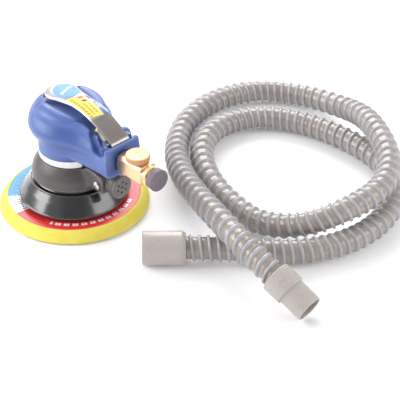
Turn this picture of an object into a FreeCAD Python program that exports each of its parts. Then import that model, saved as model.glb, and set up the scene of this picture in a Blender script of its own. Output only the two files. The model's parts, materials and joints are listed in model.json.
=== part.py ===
import FreeCAD, Part
import math
import os
import Sketcher
from FreeCAD import Placement, Rotation, Vector

# A pneumatic random-orbit palm sander with a 150 mm pad, and its loose dust hose.
# Frame: millimetres, +Z up. Z is the air motor's axis, the tail with the air inlet points
# along +X, and the origin is the point of the pad's flat bottom face on the motor's axis.

doc = FreeCAD.newDocument("PalmSander")
sheet = doc.addObject("Spreadsheet::Sheet", "Dims")
nodes = []

# ---------------------------------------------------------------- driving dimensions

DIMENSIONS = [
    # pad
    ("pad_radius", 75.0, "foam pad, outer radius at its working face"),
    ("label_radius", 66.4, "printed disc on the pad's top"),
    ("hook_thick", 1.4, "hook-and-loop face"),
    ("foam_top", 9.6, "foam under the backing plate"),
    ("plate_top", 12.2, "backing plate's top"),
    ("label_top", 12.6, "printed disc's top"),
    ("stud_radius", 3.9, "pad stud"),
    # orbit
    ("orbit_offset", 2.5, "half of the 5 mm orbit"),
    ("orbit_angle", 142.0, "where the rotor stands at rest"),
    ("spindle_radius", 6.0, "spindle's bearing seat"),
    ("hub_radius", 17.5, "eccentric hub of the balancer"),
    ("counterweight_radius", 32.0, "balancer's weight"),
    ("shaft_radius", 6.0, "motor shaft"),
    ("shaft_top_radius", 4.5, "motor shaft in its upper bearing"),
    # skirt and cup
    ("skirt_radius", 54.6, "skirt's lower lip"),
    ("skirt_low", 16.6, "skirt's lower edge"),
    ("skirt_rim_radius", 42.1, "skirt's upper rim"),
    ("skirt_rim", 35.6, "skirt's upper rim height"),
    ("neck_radius", 37.6, "skirt's neck inside the cup"),
    ("cup_radius", 40.9, "cup's band"),
    ("cup_low", 40.0, "cup's lower edge"),
    ("cup_top", 61.6, "cup's upper edge"),
    ("wall", 2.6, "moulded walls"),
    # motor housing and motor
    ("flange_radius", 32.5, "bright ring of the motor housing"),
    ("flange_low", 62.0, "ring's lower face"),
    ("flange_high", 69.6, "ring's upper face"),
    ("housing_radius", 28.2, "motor housing inside the grip"),
    ("housing_low", 53.8, "motor housing's lower edge"),
    ("housing_high", 110.0, "motor housing's top"),
    ("motor_radius", 25.0, "motor housing's bore"),
    ("bore_radius", 21.2, "cylinder's bore"),
    ("bore_offset", 1.9, "cylinder's bore off the motor axis"),
    ("rotor_radius", 19.0, "rotor"),
    ("rotor_low", 66.0, "cylinder's lower face"),
    ("rotor_high", 98.0, "cylinder's upper face"),
    ("end_plate", 7.0, "thickness of an end plate"),
    ("running_gap", 0.05, "radial clearance of running fits"),
    # grip
    ("dome_radius", 39.6, "palm dome's widest radius"),
    ("dome_top", 123.4, "palm dome's top"),
    ("tail_end", 77.0, "rear face of the tail"),
    ("tail_half", 22.2, "half width of the tail's end"),
    ("notch_x", 63.3, "scooped notch beside the lever pin"),
    ("notch_z", 105.3, "scooped notch beside the lever pin"),
    ("notch_radius", 10.5, "scooped notch beside the lever pin"),
    ("recess_floor", 117.3, "floor of the lever's recess"),
    ("crown_start", -8.0, "front edge of the lowered crown behind the grip's front lip"),
    ("crown_radius", 101.7, "radius of the lowered crown's hollow"),
    # inlet
    ("inlet_height", 88.0, "height of the air inlet's axis"),
    ("arm_radius", 9.5, "inlet arm of the motor housing"),
    ("inlet_bore", 8.0, "inlet arm's threaded bore"),
    ("block_half", 9.6, "half width of the brass body"),
    ("block_start", 81.5, "brass body, end by the tail"),
    ("block_end", 111.0, "brass body, outer end"),
    ("knob_x", 97.5, "regulator's axis"),
    ("knob_radius", 11.6, "regulator knob"),
    ("cap_radius", 11.4, "dust cap"),
    ("cap_face", 125.0, "dust cap's outer face"),
    # lever and valve
    ("pin_x", 68.4, "lever pin"),
    ("pin_z", 104.6, "lever pin"),
    ("pin_radius", 1.5, "lever pin"),
    ("lever_half", 11.3, "half width of the lever's arm"),
    ("head_radius", 16.5, "lever's round head"),
    ("head_x", -10.0, "centre of the lever's head"),
    ("lever_thick", 1.5, "lever's sheet"),
    ("valve_x", 50.0, "throttle valve's axis"),
    ("stem_radius", 2.0, "valve stem"),
    # exhaust
    ("exhaust_height", 54.6, "muffler's axis"),
    ("muffler_radius", 8.6, "muffler tube"),
    ("muffler_face", 73.8, "muffler's end disc, outer face"),
    ("disc_radius", 11.8, "muffler's end disc"),
    # hose
    ("hose_radius", 13.0, "hose over its ribs"),
    ("hose_bore", 10.8, "hose inside"),
    ("big_cuff_radius", 16.4, "large cuff, which lies on the floor"),
    ("big_cuff_length", 41.5, "large cuff"),
    ("small_collar_radius", 15.5, "small cuff's collar"),
    ("small_cuff_radius", 13.5, "small cuff's tube"),
    ("small_collar_length", 20.0, "small cuff's collar"),
    ("small_cuff_length", 44.0, "small cuff, over all"),
]


class Size:
    """A number together with the spreadsheet expression that it comes from."""

    def __init__(self, value, text):
        self.value = value
        self.text = text

    def join(self, other, sign, value):
        return Size(value, "(%s %s %s)" % (self.text, sign, formula(other)))

    def __add__(self, other):
        return self.join(other, "+", self.value + number(other))

    def __sub__(self, other):
        return self.join(other, "-", self.value - number(other))

    def __mul__(self, other):
        return self.join(other, "*", self.value * number(other))

    def __truediv__(self, other):
        return self.join(other, "/", self.value / number(other))

    def __neg__(self):
        return Size(-self.value, "(-1 * %s)" % self.text)


def number(size):
    return size.value if isinstance(size, Size) else float(size)


def formula(size):
    return size.text if isinstance(size, Size) else repr(float(size))


def read_dimensions():
    """Put the driving dimensions in the sheet, and give them back by name."""
    table = {}
    for row, (alias, value, note) in enumerate(DIMENSIONS, start=1):
        sheet.set("A%d" % row, alias.replace("_", " "))
        sheet.set("B%d" % row, str(value))
        sheet.set("C%d" % row, note)
        sheet.setAlias("B%d" % row, alias)
        table[alias] = Size(value, "Dims." + alias)
    doc.recompute()
    return table


D = read_dimensions()

# ---------------------------------------------------------------- helpers


def bind(thing, prop, size):
    """Give a property its number, and its expression where it has one."""
    if isinstance(size, Size):
        thing.setExpression(prop, size.text)
    else:
        setattr(thing, prop, size)


def place(thing, x=0.0, y=0.0, z=0.0, rotation=None):
    """Place an object, with each coordinate bound to the sheet where it has an expression."""
    base = Vector(number(x), number(y), number(z))
    thing.Placement = Placement(base, rotation or Rotation())
    for axis, size in (("x", x), ("y", y), ("z", z)):
        if isinstance(size, Size):
            thing.setExpression("Placement.Base." + axis, size.text)
    return thing


def keep(thing, label):
    """Make an object a sub-part: its label is its node's name."""
    thing.Label = label
    nodes.append(thing)
    return thing


def new_body(name):
    return doc.addObject("PartDesign::Body", name)


def origin_plane(body, role):
    return next(plane for plane in body.Origin.OriginFeatures if plane.Role == role)


def new_sketch(body, name, role, lift=0.0):
    sketch = body.newObject("Sketcher::SketchObject", name)
    sketch.AttachmentSupport = (origin_plane(body, role), [""])
    sketch.MapMode = "FlatFace"
    bind_offset(sketch, lift)
    return sketch


def bind_offset(sketch, lift):
    if isinstance(lift, Size):
        sketch.setExpression("AttachmentOffset.Base.z", lift.text)
    else:
        sketch.AttachmentOffset = Placement(Vector(0, 0, lift), Rotation())


def constrain(sketch, kind, first, size):
    """Hold a point's X or Y, or a circle's radius, at a size."""
    value = number(size)
    if kind == "Radius":
        index = sketch.addConstraint(Sketcher.Constraint(kind, first[0], value))
    else:
        index = sketch.addConstraint(Sketcher.Constraint(kind, -1, 1, first[0], first[1], value))
    if isinstance(size, Size):
        sketch.setExpression("Constraints[%d]" % index, size.text)


def outline(sketch, corners):
    """A closed outline of straight edges, each corner held by its two coordinates."""
    points = [Vector(number(x), number(y), 0) for x, y in corners]
    first = sketch.GeometryCount
    count = len(points)
    for i in range(count):
        sketch.addGeometry(Part.LineSegment(points[i], points[(i + 1) % count]))
    for i in range(count):
        sketch.addConstraint(Sketcher.Constraint("Coincident", first + i, 2, first + (i + 1) % count, 1))
    for i, (x, y) in enumerate(corners):
        constrain(sketch, "DistanceX", (first + i, 1), x)
        constrain(sketch, "DistanceY", (first + i, 1), y)
    return sketch


def circle(sketch, radius, x=0.0, y=0.0):
    """A circle held by its centre and radius."""
    centre = Vector(number(x), number(y), 0)
    index = sketch.addGeometry(Part.Circle(centre, Vector(0, 0, 1), number(radius)))
    constrain(sketch, "Radius", (index,), radius)
    constrain(sketch, "DistanceX", (index, 3), x)
    constrain(sketch, "DistanceY", (index, 3), y)
    return sketch


def revolve(body, sketch, axis):
    feature = body.newObject("PartDesign::Revolution", sketch.Name + "_turn")
    feature.Profile = sketch
    feature.ReferenceAxis = (sketch, [axis])
    feature.Angle = 360
    return feature


def turned(name, corners, along="Z"):
    """A turned piece about Z (corners are radius, height) or about X (corners are x, radius)."""
    body = new_body(name)
    sketch = outline(new_sketch(body, name + "_profile", "XZ_Plane"), corners)
    revolve(body, sketch, "V_Axis" if along == "Z" else "H_Axis")
    return body


def ring(name, inner, outer, low, high):
    return turned(name, [(inner, low), (outer, low), (outer, high), (inner, high)])


def tube(name, inner, outer, start, end):
    """A ring about X."""
    return turned(name, [(start, inner), (start, outer), (end, outer), (end, inner)], "X")


def pad_feature(body, sketch, length, both_ways=False):
    feature = body.newObject("PartDesign::Pad", sketch.Name + "_pad")
    feature.Profile = sketch
    bind(feature, "Length", length)
    if both_ways:
        feature.SideType = "Symmetric"
    return feature


def pocket_feature(body, sketch, length, both_ways=False):
    feature = body.newObject("PartDesign::Pocket", sketch.Name + "_cut")
    feature.Profile = sketch
    bind(feature, "Length", length)
    if both_ways:
        feature.SideType = "Symmetric"
    return feature


def primitive(kind, name, sizes, x=0.0, y=0.0, z=0.0, rotation=None):
    thing = doc.addObject("Part::" + kind, name)
    for prop, size in sizes.items():
        bind(thing, prop, size)
    return place(thing, x, y, z, rotation)


def cylinder(name, radius, length, x=0.0, y=0.0, z=0.0, rotation=None):
    return primitive("Cylinder", name, {"Radius": radius, "Height": length}, x, y, z, rotation)


def box(name, length, width, height, x=0.0, y=0.0, z=0.0):
    """A box centred in Y on y, from x and z."""
    y = Size(number(y) - number(width) / 2, "(%s - %s / 2)" % (formula(y), formula(width)))
    return primitive("Box", name, {"Length": length, "Width": width, "Height": height}, x, y, z)


def cut(name, base, tools):
    tool = tools[0] if len(tools) == 1 else fuse(name + "_tools", tools)
    thing = doc.addObject("Part::Cut", name)
    thing.Base = base
    thing.Tool = tool
    return thing


def fuse(name, shapes):
    thing = doc.addObject("Part::MultiFuse", name)
    thing.Shapes = shapes
    return thing


def group(name, shapes):
    thing = doc.addObject("Part::Compound", name)
    thing.Links = shapes
    return thing


ALONG_X = Rotation(Vector(0, 1, 0), 90)
ALONG_Y = Rotation(Vector(1, 0, 0), -90)

crank = math.radians(D["orbit_angle"].value)
PAD_X = Size(D["orbit_offset"].value * math.cos(crank), "(Dims.orbit_offset * cos(Dims.orbit_angle))")
PAD_Y = Size(D["orbit_offset"].value * math.sin(crank), "(Dims.orbit_offset * sin(Dims.orbit_angle))")


def on_pad_axis(thing):
    return place(thing, PAD_X, PAD_Y)


# ---------------------------------------------------------------- pad


def make_pad():
    radius, label = D["pad_radius"], D["label_radius"]
    hook, foam_top, plate_top, label_top = D["hook_thick"], D["foam_top"], D["plate_top"], D["label_top"]
    stud = D["stud_radius"]
    head, head_low = 9.0, foam_top - 2.0

    face = ring("hook_face_body", 0.0, radius - 0.5, 0.0, hook)
    keep(on_pad_axis(face), "hook_face")

    foam = turned("pad_foam_body", [
        (0.0, hook), (radius, hook), (radius, hook + 1.2), (label + 0.8, label_top),
        (label + 0.05, label_top), (label + 0.05, foam_top), (head, foam_top), (head, head_low),
        (0.0, head_low),
    ])
    keep(on_pad_axis(foam), "pad_foam")

    plate = ring("backing_plate_body", stud, label, foam_top, plate_top)
    keep(on_pad_axis(plate), "backing_plate")
    keep(on_pad_axis(ring("label_disc_body", 11.6, label, plate_top, label_top)), "label_disc")

    bolt = turned("pad_stud_body", [
        (0.0, head_low), (head, head_low), (head, foam_top), (stud, foam_top), (stud, 30.0), (0.0, 30.0),
    ])
    keep(on_pad_axis(bolt), "pad_stud")
    keep(on_pad_axis(ring("pad_washer_body", stud + 0.3, 11.0, label_top, label_top + 1.8)), "pad_washer")


def make_spindle():
    """The spindle that the pad's stud screws into, with two flats for a spanner, and its screw."""
    seat, low, thread = D["spindle_radius"], D["label_top"] + 1.8, D["stud_radius"] + 0.1
    collar, flats, top = 9.5, 16.0, 39.6
    body = turned("spindle_body", [
        (thread, low), (collar, low), (collar, 21.0), (7.4, 21.0), (7.4, 25.0), (seat, 25.0), (seat, top),
        (2.6, top), (2.6, 31.0), (thread, 31.0),
    ])
    sketch = new_sketch(body, "spindle_flats", "XY_Plane", low)
    half = flats / 2
    outline(sketch, [(half, -12.0), (14.0, -12.0), (14.0, 12.0), (half, 12.0)])
    outline(sketch, [(-14.0, -12.0), (-half, -12.0), (-half, 12.0), (-14.0, 12.0)])
    cutter = pocket_feature(body, sketch, 4.5)
    cutter.Reversed = True
    keep(on_pad_axis(body), "pad_spindle")

    screw = turned("spindle_screw_body", [
        (0.0, 32.0), (2.5, 32.0), (2.5, top), (8.2, top), (8.2, top + 2.6), (0.0, top + 2.6),
    ])
    keep(on_pad_axis(screw), "spindle_screw")


# ---------------------------------------------------------------- bearings


GROOVE_SIDES = 16


def make_bearing(name, rows, races, ball, count, centre_on_pad=False):
    """Two rings with ball grooves, and a set of balls: races are the four radii, rows the heights."""
    inner, inner_top, outer_bottom, outer = races
    middle = (number(inner_top) + number(outer_bottom)) / 2
    half = 3.4
    low, high = min(rows) - half, max(rows) + half
    groove = ball + D["running_gap"].value
    fit = on_pad_axis if centre_on_pad else (lambda thing: thing)

    def race(label, first, second):
        blank = ring(label + "_blank", first, second, low, high)
        fit(blank)
        grooves = []
        for row in rows:
            corners = []
            for i in range(GROOVE_SIDES):
                turn = 2 * math.pi * (i + 0.5) / GROOVE_SIDES
                reach = groove / math.cos(math.pi / GROOVE_SIDES)
                corners.append((middle + reach * math.cos(turn), row + reach * math.sin(turn)))
            grooves.append(fit(turned(label + "_groove_%d" % len(grooves), corners)))
        keep(cut(label + "_cut", blank, grooves), label)

    race(name + "_inner_ring", inner, inner_top)
    race(name + "_outer_ring", outer_bottom, outer)

    balls = []
    for row in rows:
        for i in range(count):
            turn = 2 * math.pi * i / count
            x, y = middle * math.cos(turn), middle * math.sin(turn)
            if centre_on_pad:
                x, y = PAD_X + x, PAD_Y + y
            balls.append(primitive("Sphere", name + "_ball_%d" % len(balls), {"Radius": ball}, x, y, row))
    keep(group(name + "_ball_group", balls), name + "_balls")


# ---------------------------------------------------------------- rotor


def make_balancer():
    """The motor shaft, forged in one with the eccentric hub and the counterweight."""
    hub, shaft, neck = D["hub_radius"], D["shaft_radius"], D["shaft_top_radius"]
    hub_low, weight_low, weight_high = 23.6, 43.6, 51.0
    stem = turned("shaft_blank", [
        (0.0, weight_low), (8.0, weight_low), (8.0, 58.0), (shaft, 58.0), (shaft, D["rotor_high"] + 0.6),
        (neck, D["rotor_high"] + 0.6), (neck, 105.6), (0.0, 105.6),
    ])
    boss = cylinder("hub_blank", hub, weight_low + 4.0 - hub_low, PAD_X, PAD_Y, hub_low)
    weight = primitive(
        "Cylinder", "counterweight_blank",
        {"Radius": D["counterweight_radius"], "Height": weight_high - weight_low, "Angle": 150.0},
        0.0, 0.0, weight_low, Rotation(Vector(0, 0, 1), D["orbit_angle"].value + 105.0),
    )
    blank = fuse("balancer_blank", [stem, boss, weight])
    pocket = cylinder("bearing_pocket", 14.02, 20.0, PAD_X, PAD_Y, hub_low - 1.0)
    clip = turned("clip_groove", [(13.0, 24.3), (14.8, 24.3), (14.8, 25.4), (13.0, 25.4)])
    on_pad_axis(clip)
    key_slot = box("key_slot", 4.0, 3.0, 12.0, 3.8, 0.0, 76.0)
    keep(cut("balancer_cut", blank, [pocket, clip, key_slot]), "balancer_shaft")

    circlip = turned("circlip_ring", [(12.8, 24.4), (14.7, 24.4), (14.7, 25.3), (12.8, 25.3)])
    on_pad_axis(circlip)
    gap = box("circlip_gap", 20.0, 5.0, 4.0, PAD_X + 5.0, PAD_Y, 23.0)
    keep(cut("circlip_cut", circlip, [gap]), "bearing_circlip")
    keep(box("rotor_key_box", 4.6, 2.9, 11.8, 4.0, 0.0, 76.1), "rotor_key")


def make_rotor():
    """The rotor with five vane slots, and the five vanes at the bottom of their slots."""
    radius, count, slot, vane = D["rotor_radius"], 5, 2.1, 1.9
    low, high = D["rotor_low"] + 0.4, D["rotor_high"] - 0.4
    body = ring("rotor_body", D["shaft_radius"] + 0.02, radius, low, high)
    keyway = new_sketch(body, "rotor_keyway", "XY_Plane", 70.0)
    outline(keyway, [(5.0, -1.5), (8.8, -1.5), (8.8, 1.5), (5.0, 1.5)])
    pocket_feature(body, keyway, 70.0).SideType = "Symmetric"
    doc.recompute()
    sketch = new_sketch(body, "vane_slot", "XY_Plane", 82.0)
    outline(sketch, [(10.8, -slot / 2), (21.0, -slot / 2), (21.0, slot / 2), (10.8, slot / 2)])
    slots = pocket_feature(body, sketch, 60.0, both_ways=True)
    pattern = body.newObject("PartDesign::PolarPattern", "vane_slots")
    pattern.Originals = [slots]
    pattern.Axis = (sketch, ["N_Axis"])
    pattern.Angle = 360
    pattern.Occurrences = count
    body.Tip = pattern
    keep(body, "rotor")

    vanes = []
    for i in range(count):
        spin = Rotation(Vector(0, 0, 1), 360.0 * i / count)
        corner = spin.multVec(Vector(11.0, -vane / 2, 0))
        sizes = {"Length": radius - 11.2, "Width": vane, "Height": high - low - 0.4}
        vanes.append(primitive("Box", "vane_%d" % i, sizes, corner.x, corner.y, low + 0.2, spin))
    keep(group("vane_group", vanes), "rotor_vanes")


# ---------------------------------------------------------------- motor housing


def make_motor_housing():
    low, high, bore, outer = D["housing_low"], D["housing_high"], D["motor_radius"], D["housing_radius"]
    flange, flange_low, flange_high = D["flange_radius"], D["flange_low"], D["flange_high"]
    shell = turned("housing_shell", [
        (bore, low), (outer - 0.3, low), (outer - 0.3, flange_low), (flange - 0.8, flange_low),
        (flange, flange_low + 0.8), (flange, flange_high), (outer, flange_high), (outer, high - 2.0),
        (outer - 2.0, high), (0.0, high), (0.0, high - 4.0), (bore, high - 4.0),
    ])
    height, arm, valve = D["inlet_height"], D["arm_radius"], D["valve_x"]
    arm_bar = cylinder("inlet_arm", arm, D["tail_end"] - 26.2, 26.0, 0.0, height, ALONG_X)
    chest = cylinder("valve_chest", 8.6, 29.0, valve, 0.0, 78.6)
    pin_x, ear_low = D["pin_x"], 88.0
    ears = [
        box("lever_ear_%d" % i, 8.0, 2.8, D["pin_z"] + 4.0 - ear_low, pin_x - 4.0, side * 13.4, ear_low)
        for i, side in enumerate((-1.0, 1.0))
    ]
    saddle = box("ear_saddle", 8.0, 29.6, 6.0, pin_x - 4.0, 0.0, ear_low)
    blank = fuse("housing_blank", [shell, arm_bar, chest, saddle] + ears)
    drills = [
        cylinder("inlet_thread", D["inlet_bore"], 20.0, 62.0, 0.0, height, ALONG_X),
        cylinder("feed_passage", 3.4, 14.0, valve, 0.0, 84.0, ALONG_X),
        cylinder("motor_passage", 2.8, 30.0, 22.0, 0.0, 93.6, ALONG_X),
        cylinder("valve_bore", 6.0, 40.0, valve, 0.0, 80.0),
        cylinder("pin_bore", D["pin_radius"], 40.0, pin_x, -20.0, D["pin_z"], ALONG_Y),
        box("lever_gap", 12.0, 23.8, 20.0, pin_x - 6.0, 0.0, 98.6),
    ]
    keep(cut("housing_cut", blank, drills), "motor_housing")


def make_motor_stack():
    bore, low, high, plate = D["motor_radius"], D["rotor_low"], D["rotor_high"], D["end_plate"]
    outer = bore - 0.02
    offset = D["bore_offset"]
    blank = cylinder("cylinder_blank", outer, high - low, 0.0, 0.0, low)
    hollow = cylinder("cylinder_hollow", D["bore_radius"], 60.0, 0.0, offset, 50.0)
    inlet = cylinder("cylinder_inlet", 2.8, 14.0, 14.0, 0.0, 93.6, ALONG_X)
    slots = [box("exhaust_slot_%d" % i, 12.0, 4.0, 2.2, -28.0, 0.0, 72.0 + 6.0 * i) for i in range(4)]
    dowel, spots = 1.2, ((11.6, -20.2), (-11.6, -20.2))
    holes = [
        cylinder("dowel_hole_%d" % i, dowel + 0.01, 4.0, x, y, low - 2.0) for i, (x, y) in enumerate(spots)
    ]
    keep(cut("cylinder_cut", blank, [hollow, inlet] + slots + holes), "cylinder")
    pins = [cylinder("dowel_%d" % i, dowel, 3.8, x, y, low - 1.9) for i, (x, y) in enumerate(spots)]
    keep(group("dowel_group", pins), "dowel_pins")

    lower = turned("lower_plate_body", [
        (7.4, low), (7.4, low - 0.6), (13.02, low - 0.6), (13.02, low - plate - 0.8),
        (outer, low - plate - 0.8), (outer, low),
    ])
    sketch = new_sketch(lower, "dowel_seats", "XY_Plane", low - 2.0)
    for x, y in spots:
        circle(sketch, dowel + 0.01, x, y)
    seats = pocket_feature(lower, sketch, 4.0)
    seats.Reversed = True
    keep(lower, "lower_end_plate")
    upper = turned("upper_plate_body", [
        (6.6, high), (outer, high), (outer, high + plate), (11.02, high + plate), (11.02, high + 0.8),
        (6.6, high + 0.8),
    ])
    keep(upper, "upper_end_plate")

    lock = ring("lock_ring_body", 14.0, outer, D["housing_low"] + 0.3, low - plate - 0.8)
    sketch = new_sketch(lock, "spanner_holes", "XY_Plane", D["housing_low"] + 0.3)
    for x, y in ((19.5, 0.0), (-19.5, 0.0), (0.0, 19.5), (0.0, -19.5)):
        circle(sketch, 1.6, x, y)
    holes = pocket_feature(lock, sketch, 2.5)
    holes.Reversed = True
    keep(lock, "lock_ring")

    spring = ring("wave_washer_body", 20.0, outer - 0.4, high + plate, high + plate + 0.9)
    keep(spring, "wave_washer")


def make_inlet():
    """The steel bushing in the arm, its screen, and the brass regulator body on it."""
    bore, height, end = D["inlet_bore"], D["inlet_height"], D["tail_end"]
    bushing = turned("bushing_body", [
        (64.0, 5.4), (64.0, bore - 0.02), (end + 0.5, bore - 0.02), (end + 0.5, 9.6), (end + 2.5, 9.6),
        (end + 2.5, 6.0), (67.0, 6.0), (67.0, 5.4),
    ], "X")
    keep(place(bushing, 0.0, 0.0, height), "inlet_bushing")
    screen = turned("screen_body", [(67.2, 0.0), (67.2, 5.9), (68.0, 5.9), (68.0, 0.0)], "X")
    sketch = new_sketch(screen, "screen_mesh", "YZ_Plane", 60.0)
    for y, z in ((0.0, 0.0), (3.4, 0.0), (-3.4, 0.0), (1.7, 3.0), (-1.7, 3.0), (1.7, -3.0), (-1.7, -3.0)):
        circle(sketch, 1.2, y, z)
    holes = pocket_feature(screen, sketch, 20.0)
    holes.Reversed = True
    keep(place(screen, 0.0, 0.0, height), "inlet_screen")

    start, stop, half = D["block_start"], D["block_end"], D["block_half"]
    shank = turned("regulator_shank", [
        (69.0, 3.6), (69.0, 5.95), (end + 2.6, 5.95), (end + 2.6, 9.4),
        (start + 1.0, 9.4), (start + 1.0, 3.6),
    ], "X")
    place(shank, 0.0, 0.0, height)
    bevel = 2.4
    block = new_body("regulator_block")
    sketch = new_sketch(block, "regulator_section", "YZ_Plane", start)
    outline(sketch, [
        (-half, -half + bevel), (-half + bevel, -half), (half - bevel, -half), (half, -half + bevel),
        (half, half - bevel), (half - bevel, half), (-half + bevel, half), (-half, half - bevel),
    ])
    pad_feature(block, sketch, stop - start)
    place(block, 0.0, 0.0, height)
    blank = fuse("regulator_blank", [shank, block])
    drills = [
        cylinder("regulator_bore", 3.6, 60.0, 68.0, 0.0, height, ALONG_X),
        cylinder("spool_bore", 4.05, 17.0, D["knob_x"], 0.0, height - half + 2.8),
        cylinder("hex_seat", 6.02, 8.0, stop - 6.0, 0.0, height, ALONG_X),
    ]
    keep(cut("regulator_cut", blank, drills), "regulator_body")

    hexagon = new_body("hex_nipple_body")
    sketch = new_sketch(hexagon, "hex_section", "YZ_Plane", stop)
    corner_radius = 10.8
    turns = [math.radians(60 * i + 30) for i in range(6)]
    outline(sketch, [(corner_radius * math.cos(turn), corner_radius * math.sin(turn)) for turn in turns])
    pad_feature(hexagon, sketch, 7.0)
    place(hexagon, 0.0, 0.0, height)
    nipple = tube("nipple_body", 3.6, 6.0, stop - 6.0, D["cap_face"] - 2.4)
    place(nipple, 0.0, 0.0, height)
    blank = fuse("nipple_blank", [hexagon, nipple])
    bore_through = cylinder("nipple_bore", 3.6, 40.0, stop - 10.0, 0.0, height, ALONG_X)
    keep(cut("nipple_cut", blank, [bore_through]), "inlet_nipple")


def make_regulator_knob():
    x, top = D["knob_x"], D["inlet_height"] + D["block_half"]
    radius = D["knob_radius"]
    low, high = top + 0.3, top + 6.6
    knob = turned("knob_body", [
        (2.2, low), (radius - 1.0, low), (radius, low + 1.0), (radius, high - 1.2), (radius - 1.2, high),
        (0.0, high), (0.0, high - 2.0), (2.2, high - 2.0),
    ])
    keep(place(knob, x), "regulator_knob")

    spool = turned("spool_body", [
        (0.0, top - 16.2), (4.0, top - 16.2), (4.0, top - 4.6), (3.2, top - 4.6), (3.2, top - 3.0),
        (4.0, top - 3.0), (4.0, top + 0.2), (2.2, top + 0.2), (2.2, high - 2.0), (0.0, high - 2.0),
    ])
    sketch = new_sketch(spool, "spool_port", "XZ_Plane")
    outline(sketch, [(-5.0, top - 11.2), (5.0, top - 11.2), (5.0, top - 8.0), (-5.0, top - 8.0)])
    pocket_feature(spool, sketch, 3.4, both_ways=True)
    keep(place(spool, x), "regulator_spool")
    seal = ring("spool_seal_body", 3.2, 3.95, top - 4.4, top - 3.2)
    keep(place(seal, x), "spool_o_ring")


def make_cap():
    """The soft cap that keeps dirt out of the air inlet until the tool is connected."""
    face, radius = D["cap_face"], D["cap_radius"]
    body = turned("cap_body", [
        (face - 6.6, radius - 1.6), (face - 6.6, radius - 0.4), (face - 0.8, radius), (face, radius - 0.8),
        (face, 0.0), (face - 2.0, 0.0), (face - 2.0, 6.2), (face - 6.0, 6.2), (face - 6.0, radius - 1.6),
    ], "X")
    keep(place(body, 0.0, 0.0, D["inlet_height"]), "inlet_cap")


# ---------------------------------------------------------------- valve and lever


def make_valve():
    x, stem = D["valve_x"], D["stem_radius"]
    seat_low, seat_high = 88.8, 90.4
    keep(place(ring("valve_seat_body", 3.0, 5.98, seat_low, seat_high), x), "valve_seat")
    bush = turned("valve_bush_body", [
        (stem + D["running_gap"], 97.4), (5.98, 97.4), (5.98, 107.6), (7.6, 107.6), (7.6, 109.2),
        (stem + D["running_gap"], 109.2),
    ])
    keep(place(bush, x), "valve_bush")
    plunger = turned("valve_stem_body", [
        (0.0, 84.4), (1.6, 84.4), (1.6, 85.6), (4.4, 85.6), (4.4, 86.8), (stem, 86.8), (stem, 117.0),
        (stem - 0.7, 117.8), (0.0, 117.8),
    ])
    keep(place(plunger, x), "valve_stem")
    keep(place(ring("valve_washer_body", stem, 4.6, 86.8, 88.6), x), "valve_washer")

    wire, mean, turns = 0.3, 3.2, 3.5
    spring = doc.addObject("Part::Feature", "valve_spring_coil")
    low, high = 80.6, 85.0
    helix = Part.makeHelix((high - low) / turns, high - low, mean)
    section = Part.Wire(Part.makeCircle(wire, Vector(mean, 0, 0), Vector(0, 1, 0)))
    spring.Shape = Part.Wire(helix).makePipeShell([section], True, True)
    keep(place(spring, x, 0.0, low), "valve_spring")


LEVER_TOP = [
    (-27.0, 124.9), (-10.0, 126.0), (6.0, 126.6), (20.0, 127.0), (32.0, 126.2), (44.0, 123.2), (58.0, 116.6),
    (74.4, 107.4),
]


def lever_sheet(start, end, low, high):
    """A strip that follows the lever's top line from start to end, between two heights above it."""
    curve = Part.BSplineCurve()
    curve.interpolate([Vector(x, 0, z) for x, z in LEVER_TOP])
    first = curve.parameter(Vector(start, 0, lever_height(curve, start)))
    last = curve.parameter(Vector(end, 0, lever_height(curve, end)))
    curve.segment(first, last)
    top = curve.copy()
    top.translate(Vector(0, 0, high))
    curve.translate(Vector(0, 0, low))
    upper, lower = top.toShape(), curve.toShape()
    side_a = Part.makeLine(upper.Vertexes[0].Point, lower.Vertexes[0].Point)
    side_b = Part.makeLine(upper.Vertexes[-1].Point, lower.Vertexes[-1].Point)
    wire = Part.Wire(Part.__sortEdges__([upper, side_b, lower, side_a]))
    strip = Part.Face(wire).extrude(Vector(0, 60, 0))
    strip.translate(Vector(0, -30, 0))
    return strip


def lever_height(curve, x):
    line = Part.makeLine(Vector(x, 0, 0), Vector(x, 0, 300))
    return curve.toShape().distToShape(line)[1][0][0].z


def prism(points):
    corners = [Vector(x, y, 90) for x, y in points]
    return Part.Face(Part.makePolygon(corners + corners[:1])).extrude(Vector(0, 0, 60))


NECK_ANGLE = 62.6


def lever_plan():
    """The lever seen from above: a round head that narrows into a straight arm."""
    head, half, centre = D["head_radius"].value, D["lever_half"].value, D["head_x"].value
    disc = Part.makeCylinder(head, 60, Vector(centre, 0, 90))
    blend = 26.0
    arm = prism([(centre, -half), (74.0, -half), (74.0, half), (centre, half)])
    lean = math.radians(NECK_ANGLE)
    neck_x, neck_y = centre + head * math.cos(lean), head * math.sin(lean)
    neck = prism([
        (neck_x, -neck_y), (centre + blend, -half), (centre + blend, half), (neck_x, neck_y),
    ])
    return disc.fuse([arm, neck]).removeSplitter()


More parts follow.
